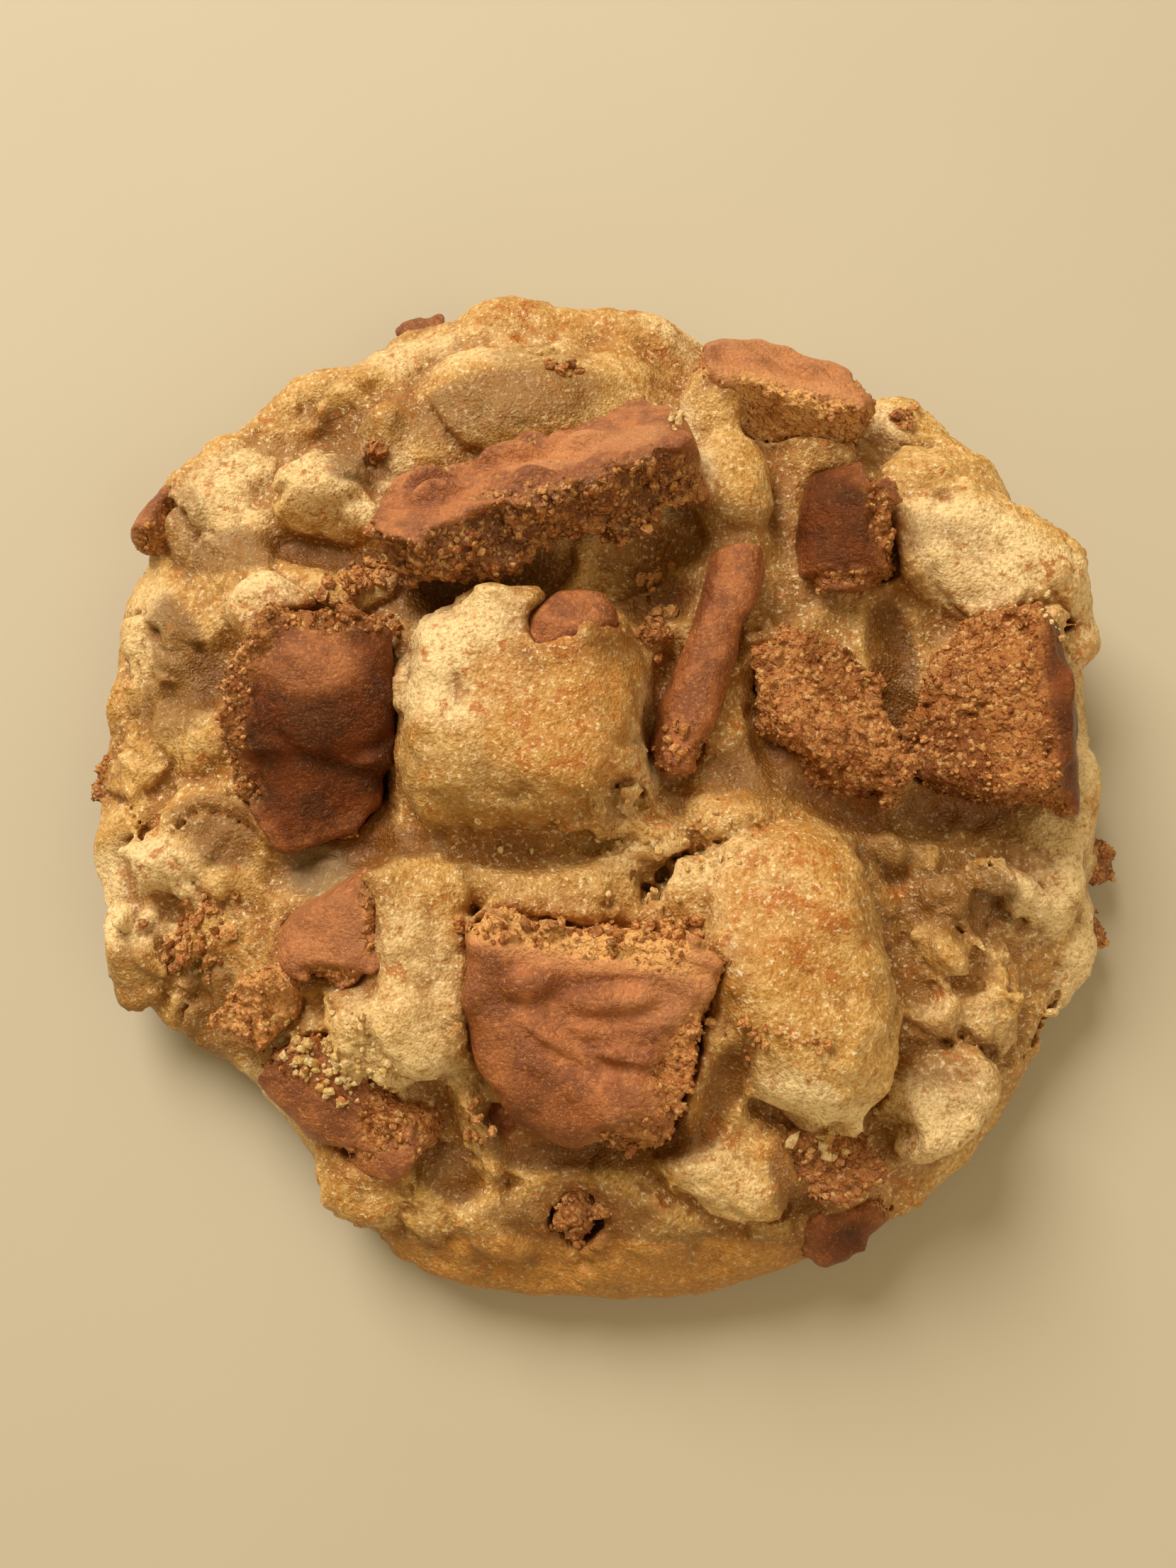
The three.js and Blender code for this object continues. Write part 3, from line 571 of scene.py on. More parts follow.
def smooth_max(a, b, width):
    """The overlap of two fields, with the edge between them rounded over a width."""
    return -smooth_min(-a, -b, width)


def ease(start, end, values):
    """0 as far as start, 1 from end on, and smooth between them. End may be the lower of the two."""
    t = np.clip((values - start) / (end - start), 0, 1)
    return t * t * (3 - 2 * t)


def within_cad_box(shape, grid, width):
    """A shape kept inside the CAD box by rounding off what would stand out of its sides and top."""
    for line, least, most in zip(grid.place, (*CAD_LOW[:2], -FAR), CAD_HIGH):
        middle = (least + most) / 2
        wall = np.abs(line - np.float32(middle)) - np.float32(most - middle)
        shape = smooth_max(shape, wall, width)
    return shape


def turned(x, y, oval):
    """Points as seen from an oval: along its length and across it, 1 at its ends and sides."""
    middle_x, middle_y, half_length, half_width, bearing = oval
    cos = math.cos(math.radians(bearing))
    sin = math.sin(math.radians(bearing))
    along = ((x - middle_x) * cos + (y - middle_y) * sin) / half_length
    across = ((y - middle_y) * cos - (x - middle_x) * sin) / half_width
    return along, across


def ovals(table, x, y, wander=0.0):
    """A map of soft-edged ovals, each with a strength. Wander bends their edges."""
    values = np.zeros(np.broadcast(x, y, wander).shape, np.float32)
    for *oval, strength in table:
        values = np.maximum(values, strength * ease(1.3, 0.7, np.hypot(*turned(x, y, oval)) + wander))
    return values


# ---- Meshes ----


def mesh_object(name, points, faces, smooth=True):
    """A mesh object from points in millimetres and an array of faces."""
    mesh = bpy.data.meshes.new(name)
    mesh.from_pydata(points * MM, [], faces, shade_flat=not smooth)
    mesh.validate()
    made = bpy.data.objects.new(name, mesh)
    bpy.context.scene.collection.objects.link(made)
    return made


def surface_mesh(name, grid, field):
    """The surface where a field is 0, without specks beside it, as a mesh object and its points."""
    volume = openvdb.FloatGrid()
    volume.copyFromArray(np.ascontiguousarray(field, np.float32))
    volume.transform = openvdb.createLinearTransform(voxelSize=grid.step)
    points, triangles, quads = volume.convertToPolygons(0.0, FLATNESS)
    triangles = np.concatenate([triangles, quads[:, :3], quads[:, [0, 2, 3]]])
    points, triangles = largest_body(points + grid.low, triangles)
    return mesh_object(name, points, triangles), points


def largest_body(points, faces):
    """The points and faces of the largest connected body."""
    label = np.arange(len(points))
    while True:
        least = label[faces].min(axis=1)
        lower = label.copy()
        for corner in range(faces.shape[1]):
            np.minimum.at(lower, faces[:, corner], least)
        lower = lower[lower]
        if np.array_equal(lower, label):
            break
        label = lower
    kept = label == np.bincount(label).argmax()
    number = np.cumsum(kept) - 1
    return points[kept], number[faces[kept[faces[:, 0]]]]


def store(made, name, values):
    """Keeps one number for each point of a mesh, for its material to read."""
    layer = made.data.attributes.new(name, "FLOAT", "POINT")
    layer.data.foreach_set("value", np.ascontiguousarray(values, np.float32))


# ---- Pieces of biscuit ----


def cad_planes(node):
    """The flat faces of a CAD node as unit normals, distances along them and areas, in millimetres."""
    polygons = node.data.polygons
    normals, centres = (np.empty(len(polygons) * 3, np.float32) for _ in range(2))
    areas = np.empty(len(polygons), np.float32)
    for name, values in (("normal", normals), ("center", centres), ("area", areas)):
        polygons.foreach_get(name, values)
    normals = normals.reshape(-1, 3)
    offsets = np.einsum("ij,ij->i", normals, centres.reshape(-1, 3)) / MM
    planes = {}
    for normal, offset, area in zip(normals, offsets, areas / MM**2):
        key = tuple(np.round(normal, 2))
        total = planes.get(key, (normal, offset, 0))[2] + area
        planes[key] = (normal, offset, total)
    return list(planes.values())


def node_box(name):
    """The lowest and highest corners of a CAD node in millimetres."""
    return [np.array(corner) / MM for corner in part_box(name)]


class Slab:
    """A piece of biscuit as the CAD node has it: its upper and lower faces, its sides and its middle."""

    SQUARE_ON = 0.1  # how far a side may be from square to the upper face, as a cosine

    def __init__(self, name):
        planes = cad_planes(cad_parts[name])
        self.upper = max(planes, key=lambda plane: plane[2] * plane[0][2] ** 3)
        self.lower = min(planes, key=lambda plane: np.dot(plane[0], self.upper[0]))
        self.sides = [p for p in planes if abs(np.dot(p[0], self.upper[0])) < self.SQUARE_ON]
        self.low, self.high = node_box(name)
        up = self.upper[0]
        middle = (self.low + self.high) / 2
        self.middle = middle + up * (self.upper[1] - middle @ up)
        self.along = np.array([up[2], 0, -up[0]]) / math.hypot(up[0], up[2])
        self.across = np.cross(up, self.along)

    def facing(self, bearing):
        """The side whose bearing is nearest."""
        def gap(plane):
            faces = math.degrees(math.atan2(plane[0][1], plane[0][0]))
            return abs((faces - bearing + 180) % 360 - 180)
        return min(self.sides, key=gap)

    def on_face(self, place):
        """Where points are on the upper face: to the east of its middle, and to the north."""
        px, py, pz = (value - np.float32(m) for value, m in zip(place, self.middle))
        along = self.along[0] * px + self.along[1] * py + self.along[2] * pz
        across = self.across[0] * px + self.across[1] * py + self.across[2] * pz
        return along, across


def plane_field(plane, place):
    """How far points are outside a plane."""
    (nx, ny, nz), offset, _ = plane
    x, y, z = place
    return nx * x + ny * y + nz * z - np.float32(offset)


def rounded(planes, place, width):
    """The overlap of several planes, with the edges between them rounded over a width."""
    field = plane_field(planes[0], place)
    for plane in planes[1:]:
        field = smooth_max(field, plane_field(plane, place), width)
    return field


def relief_height(ridges, along, across):
    """The height of a generic moulded relief: rounded ovals, each ringed by a shallow groove."""
    height = np.zeros(along.shape, np.float32)
    for *oval, tall in ridges:
        u, v = turned(along, across, oval)
        out = np.sqrt(u * u + v * v)
        half_width = oval[3]
        ridge = np.maximum(1 - out * out, 0) ** 0.7
        groove = GROOVE_DEPTH * np.exp(-(((out - GROOVE_AT) * half_width / GROOVE_WIDTH) ** 2))
        height += tall * (ridge - groove)
    return height


def skin_field(baked, look, grid, along, across, warp):
    """The baked faces of a piece of biscuit, with the relief and the ledge on its upper face."""
    skin = rounded(baked, grid.place, look.rounding) + SKIN_WARP * warp
    skin = skin - relief_height(look.relief, along, across)
    ledge_at, ledge_drop = look.ledge
    return skin + ledge_drop * ease(0.8, -0.8, across - ledge_at + 0.15 * along + 0.6 * warp)


def crumble_depth(grid, shape, coarse, seed):
    """How deep a broken face crumbles: grains and specks that stand out of it, and pits in it."""
    lumps = grain_field(grid, shape, GRAIN_SIZE, seed + 3, round_tops=True)
    specks = grain_field(grid, shape, SPECK_SIZE, seed + 4, round_tops=True)
    pits = np.maximum(noise(grid, PIT_SIZE, seed + 5) - 0.7, 0)
    return coarse * (1 - lumps) + SPECK_DEPTH * (0.8 - specks) + PIT_DEPTH * pits


def build_biscuit(name, look, seed):
    """One piece of biscuit: smooth rounded baked faces, and rough crumbly ones where it broke."""
    slab = Slab(name)
    grid = Grid(slab.low - BISCUIT_MARGIN, slab.high + BISCUIT_MARGIN, BISCUIT_STEP)
    along, across = slab.on_face(grid.place)
    baked = [slab.facing(bearing) for bearing in look.baked] + [slab.upper] * look.skin
    torn_off = [p for p in [slab.upper, slab.lower, *slab.sides] if not any(p is b for b in baked)]
    warp = layered(grid, WARP, seed)
    rough = rounded(torn_off, grid.place, BROKEN_EDGE) + warp
    shape = rough
    broken = np.ones(grid.shape, np.float32)
    if baked:
        skin = skin_field(baked, look, grid, along, across, warp)
        bare = ovals(look.bare, along, across, 0.14 * noise(grid, 1.6, seed + 8))
        shape = smooth_max(skin, rough, SKIN_EDGE) + BARE_DEPTH * bare
        broken = ease(0.1, 0.9, rough - skin + 0.35 * noise(grid, 0.9, seed + 2))
        broken = np.maximum(np.maximum(broken, bare), ease(0.5, 1.5, -skin))
    broken = broken * (1 - ovals(look.smooth, along, across, 0.1 * noise(grid, 1.6, seed + 9)))
    crumble = crumble_depth(grid, shape, look.coarse, seed)
    inward = crumble - 0.3 + 0.06 * noise(grid, 0.6, seed + 10)
    shape = blur(shape, 1) + broken * inward + (1 - broken) * layered(grid, LEATHER, seed)
    shape = within_cad_box(shape, grid, BOXED_BISCUIT_EDGE)
    made, points = surface_mesh(name + "_baked", grid, shape)
    tone = look.tone * (0.5 + 0.5 * ease(-0.2, -2.6, rough))
    # dark ovals lay painted shade on the piece, with darker baked skin in places; light ovals lay painted
    # light and painted sheen
    tone = tone + ovals(look.dark, along, across) - ovals(look.light, along, across)
    store(made, "broken", grid.sample(broken, points))
    # the depth also sets how much painted shade lies between the crumb's grains
    store(made, "depth", grid.sample(crumble, points) + look.crumb_gap_shade)
    store(made, "tone", grid.sample(tone, points))
    return made, slab


# ---- Dough ----


def outline_radius(x, y):
    """Distance from the middle to the widest line on the bearing of each point."""
    radii = np.array(OUTLINE, np.float32)
    place = (np.arctan2(y, x) / (2 * np.pi) % 1) * len(radii)
    first = np.floor(place).astype(int)
    t = place - first
    a, b, c, d = (radii[(first + shift) % len(radii)] for shift in (-1, 0, 1, 2))
    return b + 0.5 * t * (c - a + t * (2 * a - 5 * b + 4 * c - d + t * (3 * (b - c) + d - a)))


def hollow_depth(x, y):
    """How far the hollows lower the dough at each point."""
    depth = np.zeros(np.broadcast(x, y).shape, np.float32)
    widened = np.array((0, 0, HOLLOW_BLEND / 2, HOLLOW_BLEND / 2, 0))
    for *oval, deepest in HOLLOWS:
        along, across = turned(x, y, (oval + widened).tolist())
        depth = np.maximum(depth, deepest * np.maximum(1 - along**2 - across**2, 0))
    return depth


def body_field(x, y, z):
    """The dough's plain body: a thick disc with a rounded edge."""
    radius = outline_radius(x, y)
    out = np.hypot(x, y) / radius
    top = SHOULDER_HEIGHT + (CROWN_HEIGHT - SHOULDER_HEIGHT) * (1 - out**2)
    foot = FOOT_SLOPE * (RIM_HEIGHT - z) / RIM_HEIGHT
    rise = np.where(z > RIM_HEIGHT, (z - RIM_HEIGHT) / (top - RIM_HEIGHT), foot)
    reach = np.sqrt(out**EDGE_POWER + rise**2)
    across = 0.5 * EDGE_POWER * out ** (EDGE_POWER - 1) / radius
    upward = rise / np.where(z > RIM_HEIGHT, top - RIM_HEIGHT, RIM_HEIGHT / FOOT_SLOPE)
    slope = np.hypot(across, upward) / np.maximum(reach, 0.05)
    return np.clip((reach - 1) / np.maximum(slope, 0.05), -12, 12)


def lump_field(lump, x, y, z):
    """A lump: a squarish ball as deep as it is wide, whose top is at a given height."""
    *oval, top, power = lump
    half_length, half_width = oval[2:4]
    along, across = turned(x, y, oval)
    rise = (z - (top - half_width)) / half_width
    along, across, rise = np.abs(along), np.abs(across), np.abs(rise)
    out = (along**power + across**power + rise**power) ** (1 / power)
    steep = np.sqrt((along / half_length) ** 2 + (across / half_width) ** 2 + (rise / half_width) ** 2)
    slope = steep / np.maximum(np.sqrt(along**2 + across**2 + rise**2), 0.05)
    return (out - 1) / np.maximum(slope, 0.02)


def line_distance(x, y, points):
    """Distance in plan to a line through several points."""
    nearest = np.full(np.broadcast(x, y).shape, FAR, np.float32)
    for (ax, ay), (bx, by) in zip(points, points[1:]):
        dx, dy = bx - ax, by - ay
        t = np.clip(((x - ax) * dx + (y - ay) * dy) / (dx * dx + dy * dy), 0, 1)
        nearest = np.minimum(nearest, np.hypot(x - ax - t * dx, y - ay - t * dy))
    return nearest


def waves(grid, torn, lumpy, seeds):
    """How far the dough is pushed along one axis: broad waves, and finer ones where knobbly or torn."""
    broad, knobbly, fine = (noise(grid, cell, seed) for cell, seed in zip(WAVE_CELLS, seeds))
    return BROAD_WAVE * broad + (PLAIN_WAVE + KNOBBLY_WAVE * lumpy) * knobbly + TORN_WAVE * torn * fine


def add_lumps(shape, grid, x, y, z, torn):
    """Adds the lumps to the dough's body, each within the part of the grid that it reaches."""
    for lump in LUMPS:
        middle = np.array((*lump[:2], 0))
        reach = lump[2] + LUMP_REACH
        window = grid.window(middle - (reach, reach, 0), middle + (reach, reach, FAR))
        near = lump_field(lump, x[window], y[window], z[window])
        shape[window] = smooth_min(shape[window], near, LUMP_BLEND - TORN_BLEND * torn[window[:2]])


def fit_round(slab, opening, grid, shape, darker_near_piece):
    """Draws the dough up to a piece of biscuit, cuts it away where the piece is, and makes the dough darker
    round it.
    """
    window = grid.window(slab.low - PIECE_REACH, slab.high + PIECE_REACH)
    place = grid.place_in(window)
    walls = rounded([slab.lower, *slab.sides], place, PIECE_EDGE)
    over = plane_field(slab.upper, place)
    piece = smooth_max(walls, over, PIECE_EDGE)
    touching = np.maximum(COLLAR - np.abs(shape[window] - piece - COLLAR_GAP), 0) / COLLAR
    near = shape[window] - COLLAR / 4 * touching**2
    clear = smooth_max(walls, over - opening, OPENING_EDGE) + OVERLAP
    shape[window] = smooth_max(near, -clear, CUT_EDGE)
    darker_near_piece[window] = np.maximum(darker_near_piece[window], ease(DARKER_NEAR_PIECE_REACH, 0.2, piece))


def roughened(grid, shape, torn, lumpy):
    """The dough's surface with its knobs, folds, ripples and crumbs."""
    for depth, further, size, level, seed in KNOBS:
        shape = shape + (depth + further * lumpy) * (level - grain_field(grid, shape, size, seed))
    folded = FOLD_DEPTH * ease(-0.4, 1.2, noise(grid, cell=9, seed=24)) * (1 - ovals(CALM, *grid.place[:2]))
    shape = shape + folded * creases(grid, cell=4.5, width=0.3, seed=25)
    shape = shape + (0.25 + 0.25 * lumpy) * creases(grid, cell=2.2, width=0.45, seed=26)
    ripples = (0.12 + 0.12 * lumpy) * noise(grid, cell=2.2, seed=15) + 0.06 * noise(grid, cell=1.4, seed=16)
    crumbs = 0.5 - grain_field(grid, shape, size=1.2, seed=21, round_tops=True)
    return shape + ripples + (0.1 + 0.6 * torn) * crumbs


def build_dough(slabs):
    """The dough, with its lumps, hollows and torn edges, fitted round the pieces of biscuit."""
    low, high = node_box("dough")
    grid = Grid(low - DOUGH_MARGIN, high + DOUGH_MARGIN, DOUGH_STEP)
    plan = grid.place[:2]
    height = grid.place[2]
    torn = ovals(TORN, *plan)
    lumpy = ovals(LUMPY, *plan)
    x, y = (line + waves(grid, torn, lumpy, WAVE_SEEDS[axis]) for line, axis in zip(plan, "xy"))
    sunk = hollow_depth(x, y) * ease(RIM_HEIGHT, CROWN_HEIGHT, height)
    z = height + sunk + RISING_WAVE * noise(grid, cell=4, seed=19)
    shape = body_field(x, y, z)
    add_lumps(shape, grid, x, y, z, torn)
    darker_near_piece = np.zeros(grid.shape, np.float32)
    for slab, look in zip(slabs, BISCUITS.values()):
        fit_round(slab, look.opening, grid, shape, darker_near_piece)
    wander = 0.15 * noise(grid, cell=1.2, seed=22)
    for width, depth, points in CRACKS:
        gap = line_distance(x[:, :, :1], y[:, :, :1], points) + wander
        shape = smooth_max(shape, width * np.clip(1 + shape / depth, 0, 1) - gap, 0.5)
    shape = roughened(grid, shape, torn, lumpy)
    crest = blur(np.clip(shape, -3, 3), CREST_REACH) - shape
    shape = np.maximum(within_cad_box(shape, grid, BOXED_DOUGH_EDGE), -height)
    made, points = surface_mesh("dough_baked", grid, shape)
    store(made, "crest", grid.sample(crest, points))
    store(made, "darker_near_piece", grid.sample(darker_near_piece, points))
    px, py, pz = points.T
    maps = {"torn": TORN, "toast": TOASTED, "raw": RAW, "pale_and_lit": PALE_AND_LIT, "wet": WET}
    for name, table in maps.items():
        store(made, name, ovals(table, px, py))
    # darker towards the base as well: a browned base edge, and painted shade on the lower sides
    store(made, "brown_and_shade", np.maximum(ovals(BROWN_AND_SHADE, px, py), 0.9 * ease(8, 0, pz)))
    return made


# ---- Crumbs ----


class Surface:
    """What shows from above of several meshes: the uppermost point in each small square of the plan."""

    def __init__(self, pieces):
        self.points = np.concatenate([read_points(piece, "co") for piece in pieces]) / MM
        self.normals = np.concatenate([read_points(piece, "normal") for piece in pieces])
        self.low = self.points[:, :2].min(axis=0)
        squares = self.squares(self.points[:, :2])
        self.top = np.full(squares.max(axis=0) + 1, -1)
        upward = np.argsort(self.points[:, 2], kind="stable")
        self.top[tuple(squares[upward].T)] = upward

    def squares(self, places):
        return np.floor((places - self.low) / PLAN_SQUARE).astype(int)

    def beneath(self, places):
        """The uppermost point at each place in plan, or -1 where there is none."""
        squares = self.squares(places)
        inside = ((squares >= 0) & (squares < self.top.shape)).all(axis=1)
        return np.where(inside, self.top[tuple(np.where(inside[:, None], squares, 0).T)], -1)


def read_points(piece, name):
    """A vector of each point of a mesh."""
    values = np.empty(len(piece.data.vertices) * 3, np.float32)
    piece.data.vertices.foreach_get(name, values)
    return values.reshape(-1, 3)


def crumb_shape():
    """The points and triangles of a unit ball of 12 points."""
    ball = bmesh.new()
    bmesh.ops.create_icosphere(ball, subdivisions=1, radius=1)
    ball.verts.ensure_lookup_table()
    points = np.array([vert.co for vert in ball.verts])
    faces = np.array([[vert.index for vert in face.verts] for face in ball.faces])
    ball.free()
    return points, faces


def build_crumbs(name, lots, seed):
    """Many rough crumbs as one mesh, half sunk into the surface. A lot has places, facings and sizes."""
    places, normals, sizes = (np.concatenate(parts) for parts in zip(*lots))
    rng = np.random.default_rng(SEED + seed)
    ball, faces = crumb_shape()
    count = len(places)
    squash = rng.uniform(*CRUMB_SQUASH, (count, 1, 3))
    bumps = 1 + CRUMB_BUMPS * rng.standard_normal((count, len(ball), 1))
    points = ball * np.clip(bumps, 0.6, 1.4) * squash
    turns, _ = np.linalg.qr(rng.standard_normal((count, 3, 3)))
    points = np.einsum("nij,nvj->nvi", turns, points) * sizes[:, None, None]
    points += (places + normals * sizes[:, None] * CRUMB_RISE)[:, None, :]
    points = np.clip(points, CAD_LOW, CAD_HIGH)
    triangles = faces[None] + len(ball) * np.arange(count)[:, None, None]
    made = mesh_object(name, points.reshape(-1, 3), triangles.reshape(-1, 3), smooth=False)
    for layer, least, most in (("tone", -0.4, 0.4), ("depth", -0.2, 0.5), ("pale_and_lit", 0, 0.9)):
        store(made, layer, np.repeat(rng.uniform(least, most, count), len(ball)))
    # a crest of 0.4 keeps the painted crease shade off the crumbs
    for layer, value in (("broken", 1.0), ("crest", 0.4)):
        store(made, layer, np.full(count * len(ball), value))
    return made


def scattered(surface, table, seed):
    """Places, facings and sizes of the crumbs that a table of ovals spreads over a surface."""
    rng = np.random.default_rng(SEED + seed)
    places = []
    sizes = []
    for x, y, half_length, half_width, bearing, count, size in table:
        along, across = rng.normal(0, 0.5, (2, count)) * [[half_length], [half_width]]
        cos = math.cos(math.radians(bearing))
        sin = math.sin(math.radians(bearing))
        places.append(np.stack([x + along * cos - across * sin, y + along * sin + across * cos], 1))
        sizes.append(size * (0.3 + 0.9 * rng.random(count) ** 2))
    chosen = surface.beneath(np.concatenate(places))
    kept = chosen >= 0
    return surface.points[chosen[kept]], surface.normals[chosen[kept]], np.concatenate(sizes)[kept]


def grains_on(piece, layer, rng, share=1.0, most=math.inf):
    """Grains that stick out of the crumbly faces of a piece, as places, facings and sizes."""
    crumbly = np.empty(len(piece.data.vertices), np.float32)
    piece.data.attributes[layer].data.foreach_get("value", crumbly)
    points = read_points(piece, "co") / MM
    normals = read_points(piece, "normal")
    exposed = np.flatnonzero((crumbly > 0.5) & (normals[:, 2] > -0.2))
    chosen = rng.choice(exposed, min(round(share * len(exposed)), most), replace=False)
    sizes = GRAIN_RADIUS + GRAIN_SPREAD * rng.random(len(chosen)) ** 3
    return points[chosen], normals[chosen], sizes


# ---- Materials ----


class Shader:
    """A material whose nodes are added one by one. An input is a plain value or another node's output."""

    MIX_FACTOR, MIX_FIRST, MIX_SECOND, MIX_RESULT = 0, 6, 7, 2

    def __init__(self, name):
        self.material = bpy.data.materials.new(name)
        self.material.use_nodes = True
        self.tree = self.material.node_tree
        self.surface = self.tree.nodes["Principled BSDF"]
        self.place = self.node("TexCoord").outputs["Object"]

    def node(self, kind, inputs=(), **settings):
        made = self.tree.nodes.new("ShaderNode" + kind)
        for name, value in settings.items():
            setattr(made, name, value)
        for key, value in dict(inputs).items():
            self.feed(made.inputs[key], value)
        return made

    def feed(self, socket, value):
        if isinstance(value, bpy.types.NodeSocket):
            self.tree.links.new(value, socket)
        else:
            socket.default_value = value

    def set(self, **values):
        """Sets the surface's own inputs, whose names are given with _ for a space."""
        for name, value in values.items():
            self.feed(self.surface.inputs[name.replace("_", " ")], value)

    def stored(self, name):
        """A number that the mesh keeps for each point."""
        return self.node("Attribute", attribute_name=name).outputs["Fac"]

    def noise(self, size, detail=2.0, roughness=0.5):
        """Noise from 0 to 1 with features of a size in millimetres."""
        inputs = {"Vector": self.place, "Scale": 1 / (size * MM), "Detail": detail, "Roughness": roughness}
        return self.node("TexNoise", inputs).outputs["Fac"]

    def pebbles(self, size):
        """Random rounded cells of a size in millimetres: 1 at their middles, 0 between. Each has a tint."""
        wobble = self.node("TexNoise", {"Vector": self.place, "Scale": 1 / (size * MM)}).outputs["Color"]
        shift = (0.5 * size * MM,) * 3
        inputs = {0: wobble, 1: shift, 2: self.place}
        place = self.node("VectorMath", inputs, operation="MULTIPLY_ADD").outputs[0]
        cells = self.node("TexVoronoi", {"Vector": place, "Scale": 1 / (size * MM)})
        tint = self.node("SeparateColor", {0: cells.outputs["Color"]}).outputs[0]
        return self.scaled(cells.outputs["Distance"], 0.75, 0.1), tint

    def math(self, operation, *values):
        return self.node("Math", enumerate(values), operation=operation).outputs[0]

    def times(self, first, second):
        return self.math("MULTIPLY", first, second)

    def plus(self, first, second, share=1.0):
        """One value with a share of another added to it."""
        return self.math("MULTIPLY_ADD", second, share, first)

    def scaled(self, value, low, high, to_low=0.0, to_high=1.0):
        """A value carried smoothly from one range to another, and held at its ends."""
        inputs = {"Value": value, "From Min": low, "From Max": high, "To Min": to_low, "To Max": to_high}
        return self.node("MapRange", inputs, interpolation_type="SMOOTHSTEP").outputs["Result"]

    def mix(self, share, first, second):
        """A colour between two others."""
        inputs = {self.MIX_FACTOR: share, self.MIX_FIRST: first, self.MIX_SECOND: second}
        return self.node("Mix", inputs, data_type="RGBA").outputs[self.MIX_RESULT]

    def painted(self, colour, layers):
        """A colour with others laid over it in turn: (share, colour)."""
        for share, over in layers:
            colour = self.mix(share, colour, over)
        return colour

    def bump(self, layers):
        """Relief from layers of (height, depth in millimetres)."""
        inputs = {"Strength": 1.0}
        for height, depth in layers:
            inputs.update({"Height": height, "Distance": depth * MM})
            inputs["Normal"] = self.node("Bump", inputs).outputs["Normal"]
        self.set(Normal=inputs["Normal"])


def rgb(red, green, blue):
    """A colour of 0 to 255 sRGB values as the shader's linear ones."""
    values = [c / 255 for c in (red, green, blue)]
    return (*(c / 12.92 if c <= 0.04045 else ((c + 0.055) / 1.055) ** 2.4 for c in values), 1.0)


def dough_colour(s, raw, middle, sand, speck):
    """The dough's colour: pale where it rose, with painted light; brown in the folds, with painted shade
    there and in the creases; freckled on top; with sugar in it and painted glints on it.
    """
    crest = s.stored("crest")
    toast = s.stored("toast")
    # painted shade in the creases, darker where the dough lies below what is round it
    crease_shade = s.scaled(s.plus(crest, middle, 0.7), -0.25, 0.5, 1, 0)
    brown_and_shade = s.scaled(s.plus(s.stored("brown_and_shade"), middle, 0.5), 0.25, 1.3, 0, 0.85)
    blush = s.scaled(s.plus(s.noise(5, 5, 0.7), toast, 0.42), 0.68, 0.96)
    freckle = s.scaled(s.plus(s.noise(1.9, 4, 0.65), toast, 0.08), 0.59, 0.67, 0, 0.8)
    darker_near_piece = s.scaled(s.noise(1.4, 4, 0.6), 0.35, 0.65, 0.1, 0.8)
    glint = s.scaled(sand, 0.54, 0.66, 0, 0.75)
    return s.painted(rgb(184, 128, 54), (
        (s.scaled(s.noise(8, 4, 0.6), 0.35, 0.65), rgb(212, 164, 88)),
        (s.scaled(middle, 0.4, 0.7, 0, 0.6), rgb(230, 188, 118)),
        # pale crust where it rose, and painted light on slopes that face the lamp
        (s.scaled(s.plus(s.stored("pale_and_lit"), middle, 0.8), 0.3, 1.4), rgb(240, 206, 146)),
        (s.times(crease_shade, 0.85), rgb(142, 84, 20)),
        # raw, moist colour, laid on more strongly in the creases, which adds painted shade there
        (s.times(raw, s.scaled(crest, 0.5, -0.2, 0.2, 0.7)), rgb(160, 114, 56)),
        # brown in the folds and near the base, partly painted shade
        (brown_and_shade, rgb(104, 56, 6)),
        (s.times(blush, 0.8), rgb(198, 138, 62)),
        (s.times(freckle, s.math("SUBTRACT", 1.0, brown_and_shade)), rgb(182, 102, 30)),
        # darker, in patches, next to each piece of biscuit
        (s.times(s.stored("darker_near_piece"), darker_near_piece), rgb(140, 76, 22)),
        (s.times(s.stored("torn"), 0.25), rgb(222, 176, 100)),
        (s.scaled(sand, 0.48, 0.34, 0, 0.6), rgb(150, 92, 24)),
        (s.scaled(speck, 0.4, 0, 0, 0.35), rgb(160, 96, 24)),
        # painted glints of light on the sugar grains
        (s.times(glint, s.scaled(brown_and_shade, 0, 1, 1, 0.3)), rgb(252, 228, 178)),
        (s.times(s.stored("wet"), 0.6), rgb(142, 120, 88)),
    ))


def dough_material():
    """Baked dough: a sandy, sugary surface, moister where it is undercooked or wet."""
    s = Shader("baked_dough")
    raw = s.stored("raw")
    large, _ = s.pebbles(0.5)
    small, speck = s.pebbles(0.28)
    sand = s.noise(0.5, 4, 0.75)
    middle = s.noise(2.4, 5, 0.65)
    s.set(Base_Color=dough_colour(s, raw, middle, sand, speck))
    s.set(Roughness=s.plus(s.scaled(s.plus(raw, speck), 0, 1.8, 0.52, 0.28), s.stored("wet"), -0.3))
    s.set(Specular_IOR_Level=0.5, Specular_Tint=(1, 0.86, 0.62, 1))
    s.set(Subsurface_Weight=0.2, Subsurface_Radius=(1.0, 0.5, 0.15), Subsurface_Scale=0.0014)
    s.bump(((middle, 0.06), (sand, 0.16), (large, 0.05), (small, 0.05)))
    return s.material


